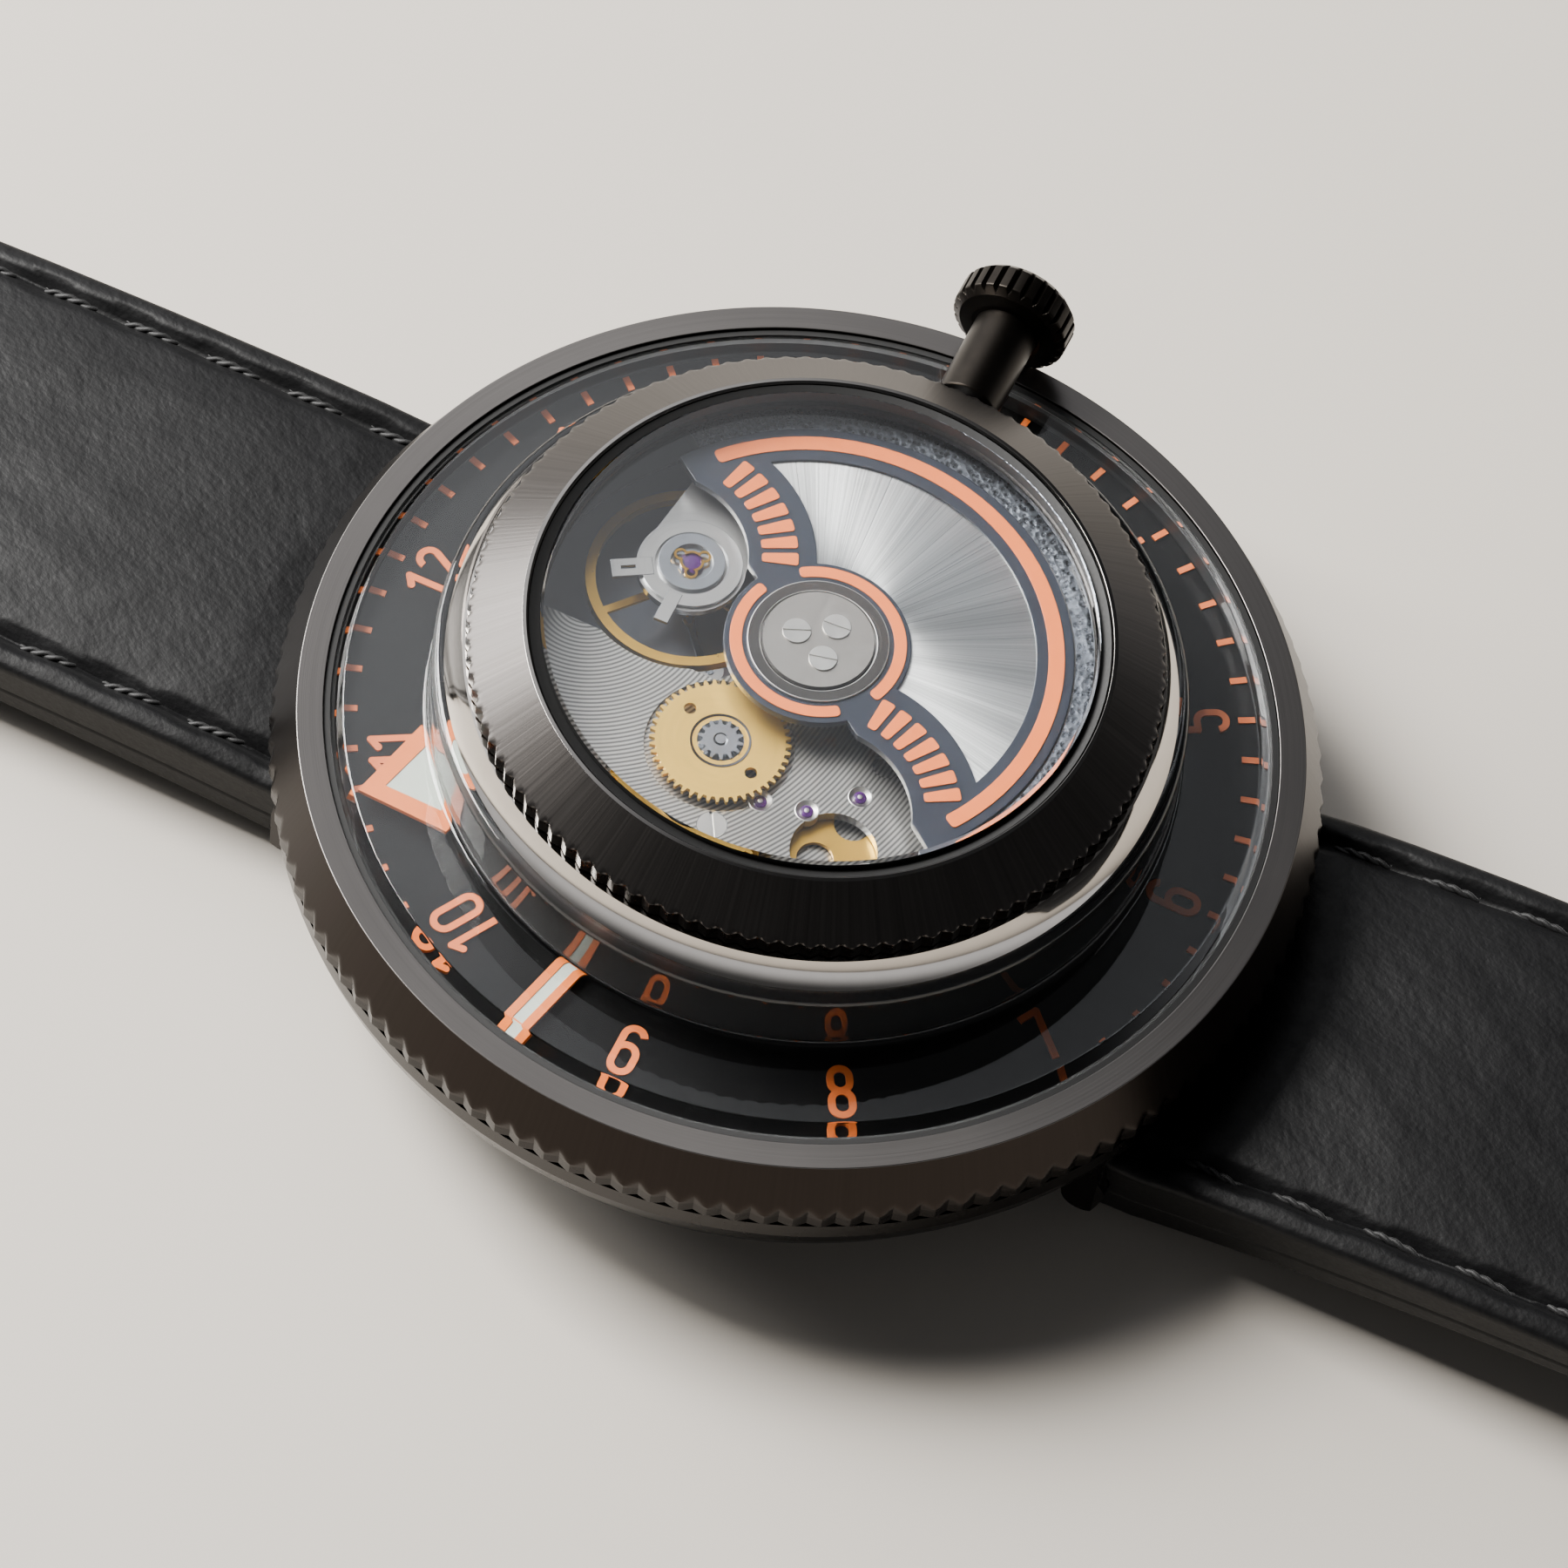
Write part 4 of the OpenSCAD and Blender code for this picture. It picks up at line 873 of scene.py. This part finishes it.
def upright(y, z, radius, length):
    """Rod along X for the pins' holes."""
    return tube([Vector((-length, y, z)), Vector((length, y, z))], radius, 40)


def leather_half(half, node, holes):
    """Leather of one strap half, less its holes."""
    skin = from_parts(node + "_leather", *strap_body(half))
    mesh = cut_away(skin, from_parts(node + "_holes", *joined(holes)))
    finish_piece(
        node + "_leather", mesh, node, "black_leather", ["leather", "edge", "lining"], [node], 50)


def straps():
    slot = block((-1.3, BUCKLE.y - 2.6, -1), (1.3, BUCKLE.y + 3.4, 5))
    holes = [slot, upright(BUCKLE.y, BUCKLE.z, PIN_HOLE, 15), upright(BAR.y, BAR.z, BAR_HOLE, 15)]
    leather_half(HALF_12, "strap_12", holes)
    stitches(HALF_12, "strap_12_stitches", "strap_12", 20.9, BUCKLE.y - 12)
    # Keeper sewn over the strap beside the buckle
    start, width, thick = BUCKLE.y - 10, 4.6, 1.0
    side, foot, crest = NARROW + 0.5, LAY + 0.2, LAY + 5.4
    path = rounded([(-side, foot), (-side, crest), (side, crest), (side, foot)], [0, 1.2, 1.2, 0], 8)
    mesh = from_parts("strap_12_keeper", *band(path, False, start, start + width, thick))
    finish_piece("strap_12_keeper", mesh, "strap_12", "black_leather", ["leather"], sharp=50)

    holes = [upright(-BAR.y, BAR.z, BAR_HOLE, 15)]
    first_hole, hole_step, hole_r = 24, 6.5, 0.95
    for i in range(7):
        y = first_hole + hole_step * i - REACH_6
        holes.append(tube([Vector((0, y, -1)), Vector((0, y, 12))], hole_r, 32))
    leather_half(HALF_6, "strap_6", holes)
    stitches(HALF_6, "strap_6_stitches", "strap_6", 20.9, REACH_6 - 16)

    lo, hi = low("loose_keeper"), high("loose_keeper")
    path = rounded(
        [(lo.x + 0.5, lo.z + 0.45), (lo.x + 0.5, hi.z - 0.45), (hi.x - 0.5, hi.z - 0.45),
         (hi.x - 0.5, lo.z + 0.45)], [0.6, 1.2, 1.2, 0.6], 8)
    mesh = from_parts("loose_keeper_leather", *band(path, True, lo.y, hi.y, 0.88))
    finish_piece(
        "loose_keeper_leather", mesh, "loose_keeper", "black_leather", ["leather"], ["loose_keeper"], 50)


# ---- Movement, dial and pointers ----


def movement():
    eased("automatic_bridge", 0.07, "case", "bridge_steel", ["stripes", "steel"], top_faces)
    eased("barrel_bridge", 0.06, "case", "bridge_steel", ["stripes_2", "steel"], top_faces)
    eased("train_bridge", 0.04, "case", "bridge_steel", ["stripes", "steel"], top_faces)
    eased("balance_cock", 0.05, "case", "bridge_steel", ["cock", "steel"], top_faces)
    eased("regulator", 0.03, "case", "polished_steel", ["cock", "steel"], top_faces)
    eased("shock_setting", 0.03, "case", "polished_steel", ["steel"])
    eased("bridge_screws", 0.03, "case", "polished_steel", ["screw"])
    eased("rotor_bearing", 0.03, "case", "polished_steel", ["cap", "hub"], top_faces)
    eased("bearing_screws", 0.012, "case", "polished_steel", ["screw"])
    eased("rotor_frame", 0.05, "rotor", "navy_lacquer", ["navy"])
    eased("rotor_weight", 0.06, "rotor", "heavy_metal", ["weight", "hub"], top_faces)
    eased("rotor_hub", 0.07, "rotor", "polished_steel", ["hub", "screw"], top_faces)
    eased("winding_wheel", 0.02, "winding_wheel", "brass", ["brass", "steel"], within(WINDER, 1.3))
    winder_seat()
    jewels()
    eased("rotor_enamel", 0.02, "rotor", "orange_enamel", ["enamel"])
    for node, body in (("hour_pointer", "hour"), ("minute_pointer", "centre")):
        eased(node, 0.02, body, "orange_print", ["pointer", "lume"], sunk(high(node).z))
    eased("buckle", 0.35, "buckle", "black_steel", ["buckle"])
    eased("buckle_tongue", 0.2, "buckle_tongue", "black_steel", ["buckle"])


def winder_seat():
    """Bright rolled ring round the winding wheel's pinion."""
    top, foot = 14.52, 14.34
    inner, wall = 0.96, 1.12
    outline = [(inner, foot), (wall, foot), (wall + 0.02, top + 0.02), (wall + 0.12, top + 0.03),
               (wall + 0.15, top - 0.04), (wall + 0.08, top - 0.1), (inner, top - 0.1)]
    made = turned(outline[::-1], 96)
    mesh = from_parts("winding_wheel_seat", *made[:2])
    mesh.transform(Matrix.Translation((WINDER.x, WINDER.y, 0)))
    finish_piece("winding_wheel_seat", mesh, "winding_wheel", "polished_steel", ["lip"], sharp=40)


def jewels():
    """Each ruby bearing as a small domed stone with a bright pivot, set in a polished sink."""
    shape = bmesh.new()
    shape.from_mesh(NODES["jewels"].data)
    shape.transform(Matrix.Scale(1 / MM, 4))
    bmesh.ops.remove_doubles(shape, verts=shape.verts, dist=1e-3)
    left = set(shape.verts)
    small_stone, bulge, upper_floor = 0.27, 0.05, 14.5
    stones, sinks, pivots = [], [], []
    while left:
        edge_of = [left.pop()]
        island = []
        while edge_of:
            v = edge_of.pop()
            island.append(v.co.copy())
            for other in (e.other_vert(v) for e in v.link_edges):
                if other in left:
                    left.discard(other)
                    edge_of.append(other)
        lo = Vector([min(c[i] for c in island) for i in range(3)])
        hi = Vector([max(c[i] for c in island) for i in range(3)])
        mid, outer, top = (lo + hi) / 2, (hi.x - lo.x) / 2, hi.z
        big = mid.z > upper_floor
        stone = outer if big else small_stone
        steps = [TAU / 4 * k / 6 for k in range(7)]
        dome = [(stone * math.cos(a), top - bulge + bulge * math.sin(a)) for a in steps]
        dome[-1] = (0.0, top)
        parts = [(stones, [(0.0, lo.z), (stone, lo.z)] + dome)]
        if not big:
            parts.append((sinks, [(stone, lo.z), (outer, lo.z), (outer, top), (outer - 0.04, top + 0.01),
                                  (stone + 0.05, top - 0.09), (stone, top - 0.09)]))
            pin = [(0.0, top - 0.02), (0.1, top - 0.02), (0.1, top + 0.02), (0.0, top + 0.04)]
            parts.append((pivots, pin))
        for bag, outline in parts:
            vertices, faces = turned(outline, 48)[:2]
            bag.append(([Vector(v) + Vector((mid.x, mid.y, 0)) for v in vertices], faces))
    shape.free()
    for name, bag, slot, key, gone in (
            ("jewel_stones", stones, "ruby", "ruby", ["jewels"]),
            ("jewel_sinks", sinks, "polished_steel", "screw", []),
            ("jewel_pivots", pivots, "polished_steel", "screw", [])):
        finish_piece(name, from_parts(name, *joined(bag)), "case", slot, [key], gone, 40)


CARRIED = {
    "case": ["case_middle"], "case_back": ["case_back"],
    "rubber": ["case_back_gasket", "lower_crystal_gasket", "ring_crystal_seal", "upper_crystal_gasket"],
    "dial": ["dial_plate", "minute_disc", "hour_disc"], "print": ["hour_numerals", "minute_track"],
    "dark_steel": ["casing_ring"], "plate": ["main_plate"], "cock": ["pallet_bridge"],
    "steel": ["crown_tube", "spring_bars", "pallet_fork", "barrel_arbor", "crown_wheel", "sliding_pinion",
              "winding_stem"],
    "wheel_brass": ["reduction_wheel", "balance_wheel", "escape_wheel", "fourth_wheel", "third_wheel",
                    "centre_wheel", "minute_wheel", "barrel"],
    "gold": ["shock_spring"], "blue_steel": ["hairspring"], "sunray": ["rotor_sunray"],
}


def dress_carried():
    for key, names in CARRIED.items():
        for name in names:
            for place in NODES[name].material_slots:
                place.material = M[key]


# ---- Floor, light and camera ----


def lamp(name, where, aim, width, height, power, colour):
    data = bpy.data.lights.new(name, "AREA")
    data.shape = "RECTANGLE"
    data.size, data.size_y = width, height
    data.energy = power
    data.color = colour
    made = bpy.data.objects.new(name, data)
    made.location = where
    made.rotation_euler = (Vector(aim) - Vector(where)).to_track_quat("-Z", "Y").to_euler()
    bpy.context.scene.collection.objects.link(made)


def falloff(tree, value, start, end, low_to, high_to):
    """Smooth step of a value between two levels."""
    made = tree.nodes.new("ShaderNodeMapRange")
    made.interpolation_type = "SMOOTHSTEP"
    for socket, level in zip(("From Min", "From Max", "To Min", "To Max"), (start, end, low_to, high_to)):
        made.inputs[socket].default_value = level
    tree.links.new(value, made.inputs["Value"])
    return made.outputs[0]


GLOW_WAY = Vector((0.45, 0.6, 0.66))


def studio():
    half = 1.5
    mesh = bpy.data.meshes.new("floor")
    corners = [(-half, -half, 0), (half, -half, 0), (half, half, 0), (-half, half, 0)]
    mesh.from_pydata(corners, [], [(0, 1, 2, 3)])
    shade = Shade("pale_floor", "#c9c2b8", 0.7)
    shade.vary_colour(shade.noise(shade.place, 40.0, 4.0), 0.97, 1.03)
    mesh.materials.append(shade.mat)
    floor = bpy.data.objects.new("floor", mesh)
    bpy.context.scene.collection.objects.link(floor)

    world = bpy.data.worlds.new("studio")
    world.use_nodes = True
    tree = world.node_tree
    back = tree.nodes["Background"]
    back.inputs["Color"].default_value = (0.88, 0.89, 0.92, 1)
    # A broad soft light stands high beyond the watch, and the wall round the horizon is pale
    way = tree.nodes.new("ShaderNodeTexCoord").outputs["Generated"]
    toward = tree.nodes.new("ShaderNodeVectorMath")
    toward.operation = "DOT_PRODUCT"
    toward.inputs[1].default_value = GLOW_WAY.normalized()
    tree.links.new(way, toward.inputs[0])
    height = tree.nodes.new("ShaderNodeSeparateXYZ")
    tree.links.new(way, height.inputs[0])
    glow = falloff(tree, toward.outputs["Value"], 0.815, 0.985, 0.08, 2.3)
    wall = falloff(tree, height.outputs["Z"], 0.04, 0.26, 0.9, 0.0)
    total = tree.nodes.new("ShaderNodeMath")
    tree.links.new(glow, total.inputs[0])
    tree.links.new(wall, total.inputs[1])
    tree.links.new(total.outputs[0], back.inputs["Strength"])
    bpy.context.scene.world = world
    lamp("key", (0.05, 0.36, 0.40), (0, 0, 0.01), 0.22, 0.22, 8.0, (1.0, 0.98, 0.95))
    lamp("side", (0.06, 0.42, 0.16), (0, 0, 0.01), 0.26, 0.16, 2.6, (1.0, 0.99, 0.97))


def camera():
    data = bpy.data.cameras.new("camera")
    data.lens = 140.0
    data.sensor_width = 36.0
    data.clip_start = 0.01
    made = bpy.data.objects.new("camera", data)
    forward = Vector((0.50673, 0.14818, -0.84928)).normalized()
    up = Vector((0.75495, 0.39940, 0.52013))
    right = forward.cross(up).normalized()
    up = right.cross(forward)
    turn = Matrix((right, up, -forward)).transposed().to_4x4()
    made.matrix_world = Matrix.Translation(Vector((-130.416, -37.742, 223.707)) * MM) @ turn
    bpy.context.scene.collection.objects.link(made)
    bpy.context.scene.camera = made


camera()
studio()
dress_carried()
lower_bezel()
upper_bezel()
movement_cup()
crystals()
crown()
movement()
straps()
